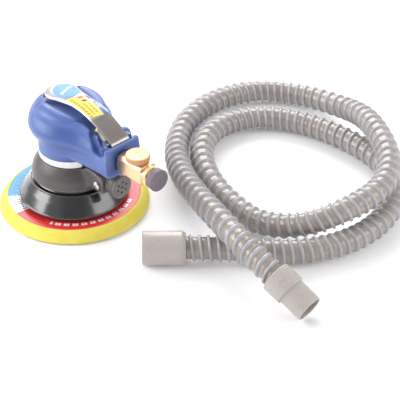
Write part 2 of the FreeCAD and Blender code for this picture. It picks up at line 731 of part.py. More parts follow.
def make_lever():
    half, pin_x, pin_z = D["lever_half"].value, D["pin_x"].value, D["pin_z"].value
    thick = D["lever_thick"].value
    plate = lever_sheet(-26.9, 74.3, -thick, 0.0).common(lever_plan())
    profile = [
        (54.0, 113.0), (63.0, 101.6), (72.6, 101.6), (72.6, 107.8), (60.0, 114.9), (54.0, 117.8),
    ]
    cheeks = []
    for side in (-1, 1):
        corners = [Vector(x, side * (half - thick), z) for x, z in profile]
        cheeks.append(Part.Face(Part.makePolygon(corners + corners[:1])).extrude(Vector(0, side * thick, 0)))
    lever = plate.fuse(cheeks)
    hole_radius = D["pin_radius"].value + D["running_gap"].value
    hole = Part.makeCylinder(hole_radius, 60, Vector(pin_x, -30, pin_z), Vector(0, 1, 0))
    feature = doc.addObject("Part::Feature", "throttle_lever_sheet")
    feature.Shape = lever.cut(hole).removeSplitter()
    feature.Placement = Placement()
    keep(feature, "throttle_lever")

    badge = doc.addObject("Part::Feature", "lever_badge_oval")
    oval = Part.Ellipse(Vector(0, 0, 90), 15.2, 10.4).toShape()
    oval_prism = Part.Face(Part.Wire(oval)).extrude(Vector(0, 0, 60))
    oval_prism.Placement = Placement(Vector(-1.0, 0, 0), Rotation())
    badge.Shape = lever_sheet(-20.0, 24.0, 0.0, 0.9).common(oval_prism)
    badge.Placement = Placement()
    keep(badge, "lever_badge")

    for name, low, high, points in (
        ("lever_label", 0.0, 0.2, [(16.0, -10.4), (47.0, -10.4), (47.0, 4.6), (16.0, 4.6)]),
        ("lever_stripe", 0.0, 0.2, [(16.0, 5.6), (47.0, 5.6), (47.0, 9.6), (16.0, 9.6)]),
    ):
        sticker = doc.addObject("Part::Feature", name + "_film")
        sticker.Shape = lever_sheet(15.0, 48.0, low, high).common(prism(points))
        sticker.Placement = Placement()
        keep(sticker, name)
    pin = cylinder("lever_pin_rod", D["pin_radius"] - 0.01, 29.4, D["pin_x"], -14.7, D["pin_z"], ALONG_Y)
    keep(pin, "lever_pin")


# ---------------------------------------------------------------- grip


def grip_section(x, low, high, half_low, half_high, square):
    """A closed upright section: flat-sided, with soft corners, narrower at the top."""
    count = 24
    middle, rise = (low + high) / 2, (high - low) / 2
    points = []
    for i in range(count):
        turn = 2 * math.pi * (i + 0.5) / count
        across = math.copysign(abs(math.cos(turn)) ** (2 / square), math.cos(turn))
        up = math.copysign(abs(math.sin(turn)) ** (2 / square), math.sin(turn))
        half = half_low + (half_high - half_low) * (up + 1) / 2
        points.append(Vector(x, across * half, middle + up * rise))
    curve = Part.BSplineCurve()
    curve.interpolate(points, True)
    return Part.Wire(curve.toShape())


def make_grip():
    """The moulded grip: a round palm dome that runs into a narrowing tail."""
    low, wide, top = D["flange_high"].value, D["dome_radius"].value, D["dome_top"].value
    waist = D["flange_radius"].value
    side = [(waist, low), (waist, low + 8.0), (waist + 4.4, low + 16.0), (wide - 0.8, low + 23.5),
            (wide, low + 31.0), (wide - 1.4, low + 40.0), (wide - 6.4, top - 7.0), (wide - 14.0, top - 2.4),
            (0.0, top)]
    curve = Part.BSplineCurve()
    curve.interpolate([Vector(r, 0, z) for r, z in side[:-1]])
    edges = [
        curve.toShape(),
        Part.makeLine(Vector(side[-2][0], 0, side[-2][1]), Vector(0, 0, top)),
        Part.makeLine(Vector(0, 0, top), Vector(0, 0, low)),
        Part.makeLine(Vector(0, 0, low), Vector(waist, 0, low)),
    ]
    dome = Part.Face(Part.Wire(edges)).revolve(Vector(0, 0, 0), Vector(0, 0, 1), 360)

    end, half = D["tail_end"].value, D["tail_half"].value
    sections = [
        grip_section(0.0, low + 1.0, top - 1.0, 31.0, 31.0, 3.2),
        grip_section(28.0, low + 1.4, 120.5, 28.5, 24.0, 3.6),
        grip_section(46.0, 71.4, 117.0, 25.0, 18.0, 4.0),
        grip_section(62.0, 72.2, 109.6, 22.6, 17.6, 4.6),
        grip_section(end, 73.4, 105.2, half, half - 1.4, 5.4),
    ]
    tail = Part.makeLoft(sections, True, False)
    solid = dome.fuse(tail)

    gap = 0.1
    along_x, along_y = Vector(1, 0, 0), Vector(0, 1, 0)
    shell_base = Vector(0, 0, D["housing_high"].value - 60 + gap)
    shell_space = Part.makeCylinder(D["housing_radius"].value + gap, 60, shell_base)
    arm_base = Vector(20, 0, D["inlet_height"].value)
    arm_space = Part.makeCylinder(D["arm_radius"].value + gap, 80, arm_base, along_x)
    chest_space = Part.makeCylinder(8.6 + gap, 40, Vector(D["valve_x"].value, 0, 78.4))
    ears_space = Part.makeBox(9.4, 30.6, 40, Vector(D["pin_x"].value - 4.7, -15.3, 87.6))
    centre = D["head_x"].value
    floor = D["recess_floor"].value
    head_space = Part.makeCylinder(D["head_radius"].value + 1.7, 30, Vector(centre, 0, floor))
    crown_x, crown_r = D["crown_start"].value, D["crown_radius"].value
    crown_space = Part.makeCylinder(crown_r, 56, Vector(crown_x, 0, floor + crown_r), along_x)
    arm_width = D["lever_half"].value + 1.3
    slope = [
        (centre, floor), (30.0, floor), (43.0, 109.6), (54.0, 107.6), (60.0, 98.8), (74.9, 98.8),
        (74.9, 140.0), (centre, 140.0),
    ]
    corners = [Vector(x, -arm_width, z) for x, z in slope]
    lever_space = Part.Face(Part.makePolygon(corners + corners[:1])).extrude(Vector(0, 2 * arm_width, 0))
    notch_base = Vector(D["notch_x"].value, -40, D["notch_z"].value)
    notch = Part.makeCylinder(D["notch_radius"].value, 80, notch_base, along_y)
    notch = notch.cut(Part.makeBox(40, 25, 40, Vector(50, -12.5, 85)))
    solid = solid.cut([
        shell_space, arm_space, chest_space, ears_space, head_space, crown_space, lever_space, notch])
    grip = doc.addObject("Part::Feature", "grip_moulding")
    grip.Shape = solid
    grip.Placement = Placement()
    keep(grip, "grip_shell")


# ---------------------------------------------------------------- skirt, cup and exhaust


def make_skirt():
    low, radius, rim, rim_radius, neck = (
        D["skirt_low"], D["skirt_radius"], D["skirt_rim"], D["skirt_rim_radius"], D["neck_radius"])
    neck_top = D["cup_low"] + 6.0
    body = turned("skirt_body", [
        (radius - 2.6, low), (radius - 0.6, low), (radius, low + 1.0), (radius - 0.8, low + 2.4),
        (rim_radius, rim), (rim_radius - 0.9, rim + 0.8), (neck, rim + 0.8), (neck, neck_top),
        (neck - 2.2, neck_top), (neck - 2.2, rim - 0.4), (rim_radius - 3.0, rim - 1.6),
        (radius - 3.0, low + 1.4),
    ])
    keep(body, "skirt")


def make_cup():
    """The moulded cup over the balancer, with the exhaust arm that leaves it along +X."""
    low, radius, top = D["cup_low"], D["cup_radius"], D["cup_top"]
    neck, height = D["neck_radius"] + 0.05, D["exhaust_height"]
    wall, mouth_radius = D["wall"], D["housing_radius"] - 0.25
    bowl = turned("cup_bowl", [
        (neck, low), (radius, low), (radius - 0.6, low + 6.0), (radius - 2.0, low + 11.4),
        (radius - 5.3, low + 17.0), (radius - 8.9, top), (mouth_radius, top), (mouth_radius, top - 3.6),
        (radius - 8.4, top - 3.6), (radius - 2.0 - wall, low + 10.4), (neck, low + 6.4),
    ])
    arm = new_body("exhaust_arm")
    sketch = new_sketch(arm, "exhaust_arm_profile", "XZ_Plane")
    outline(sketch, [
        (28.0, height + 6.0), (33.2, height + 6.8), (34.8, height + 10.4), (44.0, height + 11.0),
        (58.0, height + 8.6), (60.0, height + 6.6), (60.0, height - 8.0), (56.0, height - 9.6),
        (30.0, height - 9.6),
    ])
    pad_feature(arm, sketch, 27.0, both_ways=True)
    blank = fuse("cup_blank", [bowl, arm])
    inside = turned("cup_inside", [
        (0.0, low - 4.0), (neck, low - 4.0), (neck, low + 6.4), (radius - 2.0 - wall, low + 10.4),
        (radius - 8.4, top - 3.6), (0.0, top - 3.6),
    ])
    port = cylinder("exhaust_port", 6.0, 40.0, 24.0, 0.0, height, ALONG_X)
    mouth = cylinder("housing_mouth", mouth_radius, 20.0, 0.0, 0.0, top - 8.0)
    screw_x, screw_z, face, shank, head = 52.7, height - 1.4, 13.5, 2.0, 4.4
    screw_ways = [
        cylinder("screw_way_%d" % i, shank + 0.02, 6.6, screw_x, y, screw_z, ALONG_Y)
        for i, y in enumerate((-face - 0.1, face - 6.5))
    ]
    keep(cut("cup_cut", blank, [inside, port, mouth] + screw_ways), "shroud_cup")

    screws = []
    for i, side in enumerate((-1.0, 1.0)):
        head_start = -face - 3.2 if side < 0 else face
        shank_start = -face - 0.4 if side < 0 else face - 6.0
        screws.append(fuse("exhaust_screw_%d" % i, [
            cylinder("screw_head_%d" % i, head, 3.2, screw_x, head_start, screw_z, ALONG_Y),
            cylinder("screw_shank_%d" % i, shank, 6.4, screw_x, shank_start, screw_z, ALONG_Y),
        ]))
    keep(group("exhaust_screw_group", screws), "exhaust_screws")


def make_muffler():
    height, radius = D["exhaust_height"], D["muffler_radius"]
    face, disc = D["muffler_face"], D["disc_radius"]
    start = 60.0
    collar = tube("collar_body", 6.02, 10.6, start, start + 3.0)
    keep(place(collar, 0.0, 0.0, height), "exhaust_collar")
    shell = turned("muffler_body_turn", [
        (start - 6.0, 5.0), (start - 6.0, 5.98), (start + 3.0, 5.98), (start + 3.0, radius),
        (face - 5.0, radius), (face - 1.6, disc - 0.2), (face - 1.6, disc - 1.8), (face - 5.0, radius - 1.6),
        (start + 5.0, radius - 1.6), (start + 5.0, 5.0),
    ], "X")
    keep(place(shell, 0.0, 0.0, height), "muffler_body")
    felt = tube("felt_body", 0.0, radius - 1.8, start + 5.2, face - 4.0)
    keep(place(felt, 0.0, 0.0, height), "muffler_felt")
    cap = turned("muffler_cap_turn", [
        (face - 3.6, 0.0), (face - 3.6, radius - 1.8), (face - 1.6, radius + 0.6), (face - 1.6, disc),
        (face - 0.4, disc), (face, disc - 0.5), (face, 0.0),
    ], "X")
    sketch = new_sketch(cap, "muffler_holes", "YZ_Plane", 60.0)
    circle(sketch, 1.15)
    for i in range(6):
        turn = math.radians(60 * i + 20)
        circle(sketch, 1.15, 5.4 * math.cos(turn), 5.4 * math.sin(turn))
    holes = pocket_feature(cap, sketch, 30.0)
    holes.Reversed = True
    keep(place(cap, 0.0, 0.0, height), "muffler_cap")


# ---------------------------------------------------------------- hose

# The corners of the loose hose's route, from the large cuff, round two loops, to the small cuff.
HOSE_ROUTE = [
    (137.9, 1.8, 16.4), (166, 31, 16.4), (202, 64, 13), (236, 102, 13), (251, 152, 13), (242, 206, 13),
    (208, 250, 13), (160, 268, 13), (106, 267, 13), (60, 256, 13), (25, 230, 13), (12, 186, 13),
    (31, 145, 13), (72, 114, 13), (120, 97, 13), (168, 92, 13), (210, 109, 24), (236, 146, 40),
    (238, 194, 43), (212, 234, 43), (176, 262, 43), (132, 290, 35), (86, 307, 19), (35, 304, 13),
    (-10, 276, 13), (-29, 224, 13), (-18, 168, 13), (18, 121, 15), (64, 87, 23), (114, 62, 33),
    (168, 40, 43), (216, 27, 42), (259, 30, 24.5),
]
ARC_SHARE = 0.45


def hose_path(corners):
    """Straight runs joined by tangent arcs, as one wire, with the arcs' radii."""
    points = [Vector(*corner) for corner in corners]
    edges, radii = [], []
    start = points[0]
    for before, corner, after in zip(points, points[1:], points[2:]):
        back, ahead = before - corner, after - corner
        reach = ARC_SHARE * min(back.Length, ahead.Length)
        back.normalize()
        ahead.normalize()
        turn = math.pi - back.getAngle(ahead)
        radius = reach / math.tan(turn / 2)
        bisector = (back + ahead).normalize()
        centre = corner + bisector * (radius / math.cos(turn / 2))
        enter, leave = corner + back * reach, corner + ahead * reach
        edges.append(Part.LineSegment(start, enter).toShape())
        edges.append(Part.Arc(enter, centre - bisector * radius, leave).toShape())
        radii.append(radius)
        start = leave
    edges.append(Part.LineSegment(start, points[-1]).toShape())
    return Part.Wire(edges), radii


def make_hose():
    outer, inner = D["hose_radius"].value, D["hose_bore"].value
    path, radii = hose_path(HOSE_ROUTE)
    start = Vector(*HOSE_ROUTE[0])
    heading = (Vector(*HOSE_ROUTE[1]) - start).normalize()
    rings = [Part.Wire(Part.makeCircle(radius, start, heading)) for radius in (outer, inner)]
    skins = [path.makePipeShell([wire], True, False) for wire in rings]
    tube_solid = skins[0].cut(skins[1])
    section = math.pi * (outer ** 2 - inner ** 2)
    print("hose length %.1f mm, volume over section x length %.4f" % (
        path.Length, tube_solid.Volume / (section * path.Length)))
    print("hose arc radii, mm:", ", ".join("%.0f" % radius for radius in radii))
    hose = doc.addObject("Part::Feature", "hose_tube_sweep")
    hose.Shape = tube_solid
    hose.Placement = Placement()
    keep(hose, "hose_tube")

    slip = 0.05
    big, length = D["big_cuff_radius"], D["big_cuff_length"]
    flat = Vector(heading.x, heading.y, 0).normalize()
    turn = Rotation(Vector(1, 0, 0), flat)
    socket = 15.0
    cuff = turned("big_cuff_body", [
        (0.0, big - 2.4), (0.0, big - 0.6), (0.6, big), (length - 3.6, big), (length, big - 2.4),
        (length, outer + slip), (length - socket, outer + slip), (length - socket, inner),
        (length - socket - 4.0, inner), (length - socket - 7.0, big - 2.4),
    ], "X")
    mouth = start - flat * (length.value - socket)
    keep(place(cuff, mouth.x, mouth.y, big, turn), "hose_cuff_large")

    end = Vector(*HOSE_ROUTE[-1])
    along = (end - Vector(*HOSE_ROUTE[-2])).normalize()
    collar, small = D["small_collar_radius"], D["small_cuff_radius"]
    neck, total = D["small_collar_length"], D["small_cuff_length"]
    root = 13.0
    nozzle = turned("small_cuff_body", [
        (0.0, outer + slip), (0.0, collar - 0.6), (0.6, collar), (neck - 0.6, collar), (neck, collar - 0.6),
        (neck, small), (total - 0.4, small), (total, small - 0.4), (total, small - 1.9),
        (root + 2.0, small - 1.9), (root + 2.0, inner), (root, inner), (root, outer + slip),
    ], "X")
    base = end - along * root
    keep(place(nozzle, base.x, base.y, base.z, Rotation(Vector(1, 0, 0), along)), "hose_cuff_small")


# ---------------------------------------------------------------- build, check and export


def build():
    make_pad()
    make_spindle()
    seat = D["spindle_radius"] + 0.02
    make_bearing("spindle_bearing", (28.8, 36.2), (seat, 8.4, 11.6, 14.0), 2.0, 11, True)
    make_balancer()
    make_rotor()
    make_bearing("lower_bearing", (61.8,), (D["shaft_radius"] + 0.02, 8.2, 10.8, 13.0), 1.9, 12)
    make_bearing("upper_bearing", (102.2,), (D["shaft_top_radius"] + 0.02, 6.6, 9.0, 11.0), 1.7, 11)
    make_motor_housing()
    make_motor_stack()
    make_inlet()
    make_regulator_knob()
    make_cap()
    make_valve()
    make_lever()
    make_grip()
    make_skirt()
    make_cup()
    make_muffler()
    make_hose()
    doc.recompute()


def check():
    """Stop if any object failed, or if a sub-part's shape is missing or not valid."""
    for thing in doc.Objects:
        if "Invalid" in thing.State or "Error" in thing.State:
            raise RuntimeError("%s is in state %s" % (thing.Name, thing.State))
    labels = [thing.Label for thing in nodes]
    if len(set(labels)) != len(labels):
        raise RuntimeError("two sub-parts share a label")
    for thing in nodes:
        if thing.Shape.isNull() or not thing.Shape.isValid() or not thing.Shape.Solids:
            raise RuntimeError("%s has no valid solid" % thing.Label)
    print("%d sub-parts" % len(nodes))


def export():
    os.makedirs("parts", exist_ok=True)
    for thing in nodes:
        thing.Shape.exportStep("parts/%s.step" % thing.Label)


build()
check()
export()
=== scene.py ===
import json
import math

import bmesh
import bpy
import numpy as np
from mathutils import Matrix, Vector


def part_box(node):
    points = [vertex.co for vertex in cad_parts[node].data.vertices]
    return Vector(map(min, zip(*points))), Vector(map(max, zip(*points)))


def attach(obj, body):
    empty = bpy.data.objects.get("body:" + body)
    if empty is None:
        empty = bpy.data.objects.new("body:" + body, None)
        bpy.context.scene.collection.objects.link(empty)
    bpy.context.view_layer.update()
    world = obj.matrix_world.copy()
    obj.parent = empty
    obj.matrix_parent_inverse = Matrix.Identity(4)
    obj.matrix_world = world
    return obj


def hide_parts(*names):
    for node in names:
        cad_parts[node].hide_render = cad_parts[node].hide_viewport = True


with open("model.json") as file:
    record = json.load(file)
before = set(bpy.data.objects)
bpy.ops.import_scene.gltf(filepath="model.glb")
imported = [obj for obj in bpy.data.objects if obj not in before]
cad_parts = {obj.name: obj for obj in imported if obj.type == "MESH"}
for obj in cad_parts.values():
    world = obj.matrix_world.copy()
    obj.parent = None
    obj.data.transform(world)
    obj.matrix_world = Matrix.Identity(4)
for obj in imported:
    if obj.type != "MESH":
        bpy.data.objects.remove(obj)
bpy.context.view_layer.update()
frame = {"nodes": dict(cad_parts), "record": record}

# The looks of a pneumatic palm sander and its loose dust hose.
# Sizes are in millimetres, in the part's own frame: +Z is up and +X runs along the sander's tail.
MM = 0.001
X_AXIS, Y_AXIS, Z_AXIS = Vector((1, 0, 0)), Vector((0, 1, 0)), Vector((0, 0, 1))
TO_CAMERA = (0.642, -0.502, 0.579)  # the way from the object to the camera


def node_box(node):
    """A CAD node's lowest and highest corners, in millimetres."""
    low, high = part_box(node)
    return low / MM, high / MM


# ---------------------------------------------------------------- materials


def rgb(red, green, blue):
    """An sRGB colour, 0 to 255, as the linear colour that a shader takes."""
    channels = [value / 255 for value in (red, green, blue)]
    return tuple(c / 12.92 if c < 0.04 else ((c + 0.055) / 1.055) ** 2.4 for c in channels) + (1.0,)


class Finish:
    """A node material that is built up in short steps."""

    def __init__(self, name, roughness, metallic=0.0, **sockets):
        self.name = name
        self.material = bpy.data.materials.new(name)
        self.material.use_nodes = True
        self.tree = self.material.node_tree
        self.shader = self.tree.nodes["Principled BSDF"]
        self.shader.inputs["Roughness"].default_value = roughness
        self.shader.inputs["Metallic"].default_value = metallic
        for socket, value in sockets.items():
            self.shader.inputs[socket.replace("_", " ")].default_value = value
        self.place = self.node("ShaderNodeTexCoord", {}).outputs["Object"]
        self.height = None

    def node(self, kind, inputs, **settings):
        """Add a node, link or set its inputs by name or number, and give it back."""
        node = self.tree.nodes.new(kind)
        for setting, value in settings.items():
            setattr(node, setting, value)
        for key, value in inputs.items():
            socket = node.inputs[key]
            if isinstance(value, bpy.types.NodeSocket):
                self.tree.links.new(value, socket)
            else:
                socket.default_value = value
        return node

    def noise(self, size, detail=3.0, stretch=(1, 1, 1)):
        """Noise with features of about this size in millimetres, 0 to 1."""
        scaled = self.node("ShaderNodeMapping", {"Vector": self.place, "Scale": stretch})
        values = {"Vector": scaled.outputs[0], "Scale": 1 / (size * MM), "Detail": detail, "Roughness": 0.5}
        return self.node("ShaderNodeTexNoise", values).outputs[0]

    def cells(self, size):
        """Round cells of about this size in millimetres: 0 at each middle."""
        values = {"Vector": self.place, "Scale": 1 / (size * MM)}
        return self.node("ShaderNodeTexVoronoi", values).outputs["Distance"]

    def mark(self, name):
        """A value stored on the mesh's points, such as how sharp an edge is there."""
        return self.node("ShaderNodeAttribute", {}, attribute_name=name).outputs["Fac"]

    def span(self, value, low, high, start=0.3, end=0.7):
        """A value from start to end, spread over low to high."""
        inputs = {"Value": value, "From Min": start, "From Max": end, "To Min": low, "To Max": high}
        return self.node("ShaderNodeMapRange", inputs).outputs[0]

    def along(self):
        """The place's X, in metres."""
        return self.node("ShaderNodeSeparateXYZ", {0: self.place}).outputs[0]

    def math(self, operation, first, second=0.0):
        return self.node("ShaderNodeMath", {0: first, 1: second}, operation=operation).outputs[0]

    def mix(self, factor, first, second):
        inputs = {"Factor": factor, 6: first, 7: second}
        return self.node("ShaderNodeMix", inputs, data_type="RGBA").outputs[2]

    def paint(self, colour):
        self.tree.links.new(colour, self.shader.inputs["Base Color"])

    def rough(self, value):
        self.tree.links.new(value, self.shader.inputs["Roughness"])

    def bump(self, height, depth):
        """Raise the surface by height, 0 to 1, times depth in millimetres."""
        inputs = {"Height": height, "Distance": depth * MM, "Strength": 1.0}
        if self.height is not None:
            inputs["Normal"] = self.height
        self.height = self.node("ShaderNodeBump", inputs).outputs[0]
        self.tree.links.new(self.height, self.shader.inputs["Normal"])


def moulded(name, light, dark, roughness, grain=0.5, depth=0.02, edge=None, wander=18.0, **sockets):
    """Moulded plastic, rubber or film: slow changes of tone, a fine grain, and edges of another tone, which
    is partly wear and, where paler, a painted highlight.
    """
    finish = Finish(name, roughness, **sockets)
    colour = finish.mix(finish.span(finish.noise(wander), 0.0, 1.0), rgb(*dark), rgb(*light))
    fine = finish.noise(grain, detail=2.0)
    if edge is not None:
        # painted highlight, partly wear: the edge tone is laid in patches on the convex edges, where light
        # would catch them
        edge_wear_and_highlight = finish.math("MULTIPLY", finish.mark("edge"), finish.span(finish.noise(3.0), 0.35, 1.0))
        colour = finish.mix(edge_wear_and_highlight, colour, rgb(*edge))
    finish.paint(colour)
    finish.rough(finish.span(finish.noise(wander / 3), roughness - 0.05, roughness + 0.06))
    finish.bump(fine, depth)
    return finish


def metal(name, light, dark, roughness, stretch=(1, 1, 1), grain=0.8):
    """Machined or brushed metal: fine marks that run along the stretched way, and a little dulling."""
    finish = Finish(name, roughness, metallic=1.0)
    dull = finish.span(finish.noise(9.0), 0.0, 1.0)
    marks = finish.noise(grain, detail=4.0, stretch=stretch)
    colour = finish.mix(dull, rgb(*dark), rgb(*light))
    finish.paint(finish.mix(finish.span(marks, 0.0, 0.25), colour, rgb(*dark)))
    finish.rough(finish.span(marks, roughness - 0.05, roughness + 0.09))
    finish.bump(marks, 0.006)
    return finish


# The finishes by name: light tone, dark tone and roughness, and then what else differs.
METALS = {
    "hard_steel": ((178, 178, 182), (150, 150, 155), 0.32, {}),
    "plate_steel": ((188, 188, 192), (160, 160, 165), 0.36, {"stretch": (1, 6, 1)}),
    "bearing_steel": ((212, 212, 215), (190, 190, 194), 0.14, {}),
    "zinc_steel": ((222, 222, 222), (190, 192, 196), 0.2, {}),
    "rotor_alloy": ((200, 200, 204), (178, 178, 183), 0.35, {"stretch": (1, 1, 5)}),
    "screen_mesh": ((214, 194, 140), (190, 168, 112), 0.35, {}),
    "brass": ((250, 222, 184), (240, 204, 160), 0.34, {"stretch": (0.4, 3, 3), "grain": 0.7}),
    "valve_brass": ((232, 205, 150), (205, 175, 118), 0.25, {}),
    "knob_brass": ((234, 196, 156), (224, 184, 144), 0.55, {"grain": 0.5}),
}
PLASTICS = {
    "grip_rubber": ((66, 98, 168), (58, 89, 158), 0.42, {
        "grain": 0.7, "depth": 0.05, "edge": (92, 116, 182), "Specular_IOR_Level": 0.8,
        "Sheen_Weight": 0.3, "Sheen_Roughness": 0.5, "Sheen_Tint": rgb(205, 200, 235)}),
    "vane_fibre": ((150, 102, 62), (122, 78, 44), 0.6, {"grain": 0.4, "wander": 2.0}),
    "seal_rubber": ((40, 40, 42), (28, 28, 30), 0.5, {}),
    "skirt_gloss": ((34, 31, 32), (26, 24, 25), 0.24, {
        "grain": 2.5, "depth": 0.01, "edge": (80, 76, 78), "Specular_IOR_Level": 0.3,
        "Coat_Weight": 1.0, "Coat_Roughness": 0.16, "Coat_IOR": 1.75}),
    "cup_plastic": ((92, 86, 86), (80, 74, 74), 0.36, {"grain": 0.6, "depth": 0.04, "edge": (130, 124, 122)}),
    "muffler_plastic": ((98, 93, 93), (86, 81, 82), 0.45, {"grain": 0.6, "depth": 0.03}),
    "muffler_face": ((118, 113, 114), (108, 103, 104), 0.5, {"grain": 0.6}),
    "felt": ((196, 190, 176), (160, 152, 136), 0.9, {"grain": 0.3, "depth": 0.2, "wander": 1.5}),
    "hook_fabric": ((196, 190, 168), (168, 162, 140), 0.9, {"grain": 0.6, "depth": 0.4}),
    "plate_plastic": ((92, 92, 96), (76, 76, 80), 0.5, {}),
    "badge_blue": ((142, 184, 224), (132, 176, 220), 0.6, {"wander": 9.0, "Specular_IOR_Level": 0.25}),
    "badge_rim": ((120, 156, 214), (106, 142, 204), 0.2, {"Coat_Weight": 0.8}),
    "film_white": ((245, 244, 246), (235, 234, 238), 0.25, {"Coat_Weight": 0.4}),
    "label_yellow": ((250, 232, 120), (246, 224, 104), 0.35, {"wander": 8.0}),
    "print_olive": ((196, 174, 62), (180, 158, 52), 0.4, {"wander": 3.0}),
    "print_red": ((205, 62, 76), (190, 48, 64), 0.35, {"wander": 3.0}),
    "print_black": ((50, 46, 48), (38, 35, 38), 0.35, {"wander": 3.0}),
    "stripe_blue": ((92, 132, 204), (72, 112, 190), 0.3, {"Coat_Weight": 0.3}),
    "cap_black": ((120, 111, 118), (108, 100, 107), 0.6, {"grain": 0.4, "depth": 0.03, "edge": (58, 54, 58)}),
    "cuff_grey": ((180, 171, 166), (174, 165, 160), 0.3, {
        "grain": 1.5, "depth": 0.03, "edge": (220, 214, 210), "Specular_IOR_Level": 0.7}),
    "pad_red": ((234, 56, 52), (228, 48, 46), 0.4, {}),
    "pad_pink": ((234, 98, 102), (230, 90, 96), 0.4, {}),
    "pad_sky": ((62, 158, 216), (52, 148, 208), 0.4, {}),
}


def make_materials():
    """Every finish's material, by the finish's name."""
    made = [metal(name, *tones, **rest) for name, (*tones, rest) in METALS.items()]
    made += [moulded(name, *tones, **rest) for name, (*tones, rest) in PLASTICS.items()]
    made += [housing_finish(), foam_finish(), hose_finish(), lever_finish()]
    return {finish.name: finish.material for finish in made}


def housing_finish():
    """Turned alloy at the collar, and a dark blue coating on the arm and ears that the grip surrounds."""
    finish = Finish("housing_metal", 0.3)
    marks = finish.noise(0.8, detail=4.0, stretch=(0.15, 0.15, 3.0))
    colour = finish.mix(finish.span(finish.noise(9.0), 0.0, 1.0), rgb(208, 206, 210), rgb(228, 227, 230))
    coated = finish.span(finish.along(), 0.0, 1.0, 0.045, 0.046)
    finish.paint(finish.mix(coated, colour, rgb(44, 62, 118)))
    finish.tree.links.new(finish.math("SUBTRACT", 1.0, coated), finish.shader.inputs["Metallic"])
    finish.rough(finish.span(marks, 0.25, 0.4))
    finish.bump(marks, 0.006)
    return finish


def foam_finish():
    """Closed-cell foam: pale cells in a yellow skin."""
    finish = Finish("foam", 0.7, Subsurface_Weight=0.15, Subsurface_Radius=(0.004, 0.003, 0.001))
    tone = finish.span(finish.noise(14.0), 0.0, 1.0)
    colour = finish.mix(tone, rgb(240, 224, 88), rgb(246, 234, 118))
    pores = finish.span(finish.cells(0.9), 0.0, 1.0, 0.0, 0.55)
    finish.paint(finish.mix(finish.math("MULTIPLY", pores, 0.22), colour, rgb(226, 204, 52)))
    finish.bump(pores, 0.12)
    finish.bump(finish.noise(5.0), 0.15)
    return finish


def hose_finish():
    """Warm grey flexible wall, with the paler, smoother rib that is wound on it."""
    finish = Finish("hose_grey", 0.2, Specular_IOR_Level=0.8)
    tone = finish.span(finish.noise(22.0), 0.0, 1.0)
    wall = finish.mix(tone, rgb(156, 144, 135), rgb(168, 157, 147))
    grime = finish.span(finish.noise(2.2), 0.0, 0.3)
    wall = finish.mix(grime, wall, rgb(138, 127, 119))
    rib = finish.mix(tone, rgb(160, 159, 164), rgb(174, 173, 178))
    on_rib = finish.mark("rib")
    finish.paint(finish.mix(on_rib, wall, rib))
    finish.rough(finish.span(on_rib, 0.22, 0.26, 0.0, 1.0))
    finish.bump(finish.noise(1.4), 0.06)
    return finish


def lever_finish():
    """Brushed stainless sheet: fine lines across the lever, painted shade on its bare rear part, and a
    painted highlight along its edges.
    """
    finish = Finish("lever_steel", 0.3, metallic=1.0, Anisotropic=0.4)
    lines = finish.noise(0.5, detail=4.0, stretch=(1.6, 0.05, 1.6))
    colour = finish.mix(finish.span(finish.noise(12.0), 0.0, 1.0), rgb(216, 210, 206), rgb(226, 221, 218))
    colour = finish.mix(finish.span(lines, 0.0, 0.2), colour, rgb(176, 168, 165))
    # painted shade: the sloping rear of the lever, past the notice, is darkened to stand in for the dimmer
    # light it reflects
    rear_painted_shade = finish.span(finish.along(), 0.0, 1.0, 0.0435, 0.0475)
    colour = finish.mix(rear_painted_shade, colour, rgb(158, 150, 146))
    # painted highlight: the lever's edges are whitened where the light would catch them
    finish.paint(finish.mix(finish.mark("edge"), colour, rgb(245, 243, 242)))
    finish.rough(finish.span(lines, 0.28, 0.4))
    finish.bump(lines, 0.004)
    return finish


MATERIALS = make_materials()


# ---------------------------------------------------------------- meshes


def add(name, data):
    """A new object in the scene, at the origin."""
    thing = bpy.data.objects.new(name, data)
    bpy.context.scene.collection.objects.link(thing)
    return thing


def shade(mesh, crease):
    """Smooth shading, but for edges sharper than crease degrees."""
    mesh.shade_smooth()
    mesh.set_sharp_from_angle(angle=math.radians(crease))


def coloured(name, points, faces, fields, names):
    """A piece from points in millimetres, whose faces take their materials from the list of names."""
    mesh = bpy.data.meshes.new(name)
    mesh.from_pydata((np.array(points, float) * MM).tolist(), [], faces)
    for material in names:
        mesh.materials.append(MATERIALS[material])
    mesh.polygons.foreach_set("material_index", fields)
    shade(mesh, 40)
    return add(name, mesh)


def ring_faces(rows, sides, closed=True):
    """The faces between rings of points, the last ring joined to the first one if closed."""
    faces = []
    for i in range(rows if closed else rows - 1):
        here, ahead = i * sides, (i + 1) % rows * sides
        for j in range(sides):
            after = (j + 1) % sides
            faces.append((here + j, here + after, ahead + after, ahead + j))
    return faces


def border_steps(count, wide):
    """The pairs of neighbours round the edge of a grid of count rows, each of wide points."""
    ring = [i * wide for i in range(count)] + [(count - 1) * wide + j for j in range(1, wide)]
    ring += [i * wide + wide - 1 for i in range(count - 2, -1, -1)] + list(range(wide - 2, 0, -1))
    return list(zip(ring, ring[1:] + ring[:1]))


def make_piece(name, points, faces, material, crease=38.0):
    """An object from points in millimetres, smooth but for edges sharper than crease degrees."""
    mesh = bpy.data.meshes.new(name)
    mesh.from_pydata((np.asarray(points, float) * MM).tolist(), [], [list(map(int, face)) for face in faces])
    work = bmesh.new()
    work.from_mesh(mesh)
    bmesh.ops.remove_doubles(work, verts=work.verts, dist=1e-6)
    bmesh.ops.dissolve_degenerate(work, edges=work.edges, dist=1e-7)
    bmesh.ops.recalc_face_normals(work, faces=work.faces)
    work.to_mesh(mesh)
    work.free()
    shade(mesh, crease)
    mesh.materials.append(MATERIALS[material])
    return add(name, mesh)


def settle(piece, body, slot, *nodes):
    """Tie a piece to its body, and hide the CAD nodes that it stands for. The slot is not used."""
    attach(piece, body)
    if nodes:
        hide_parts(*nodes)
    return piece


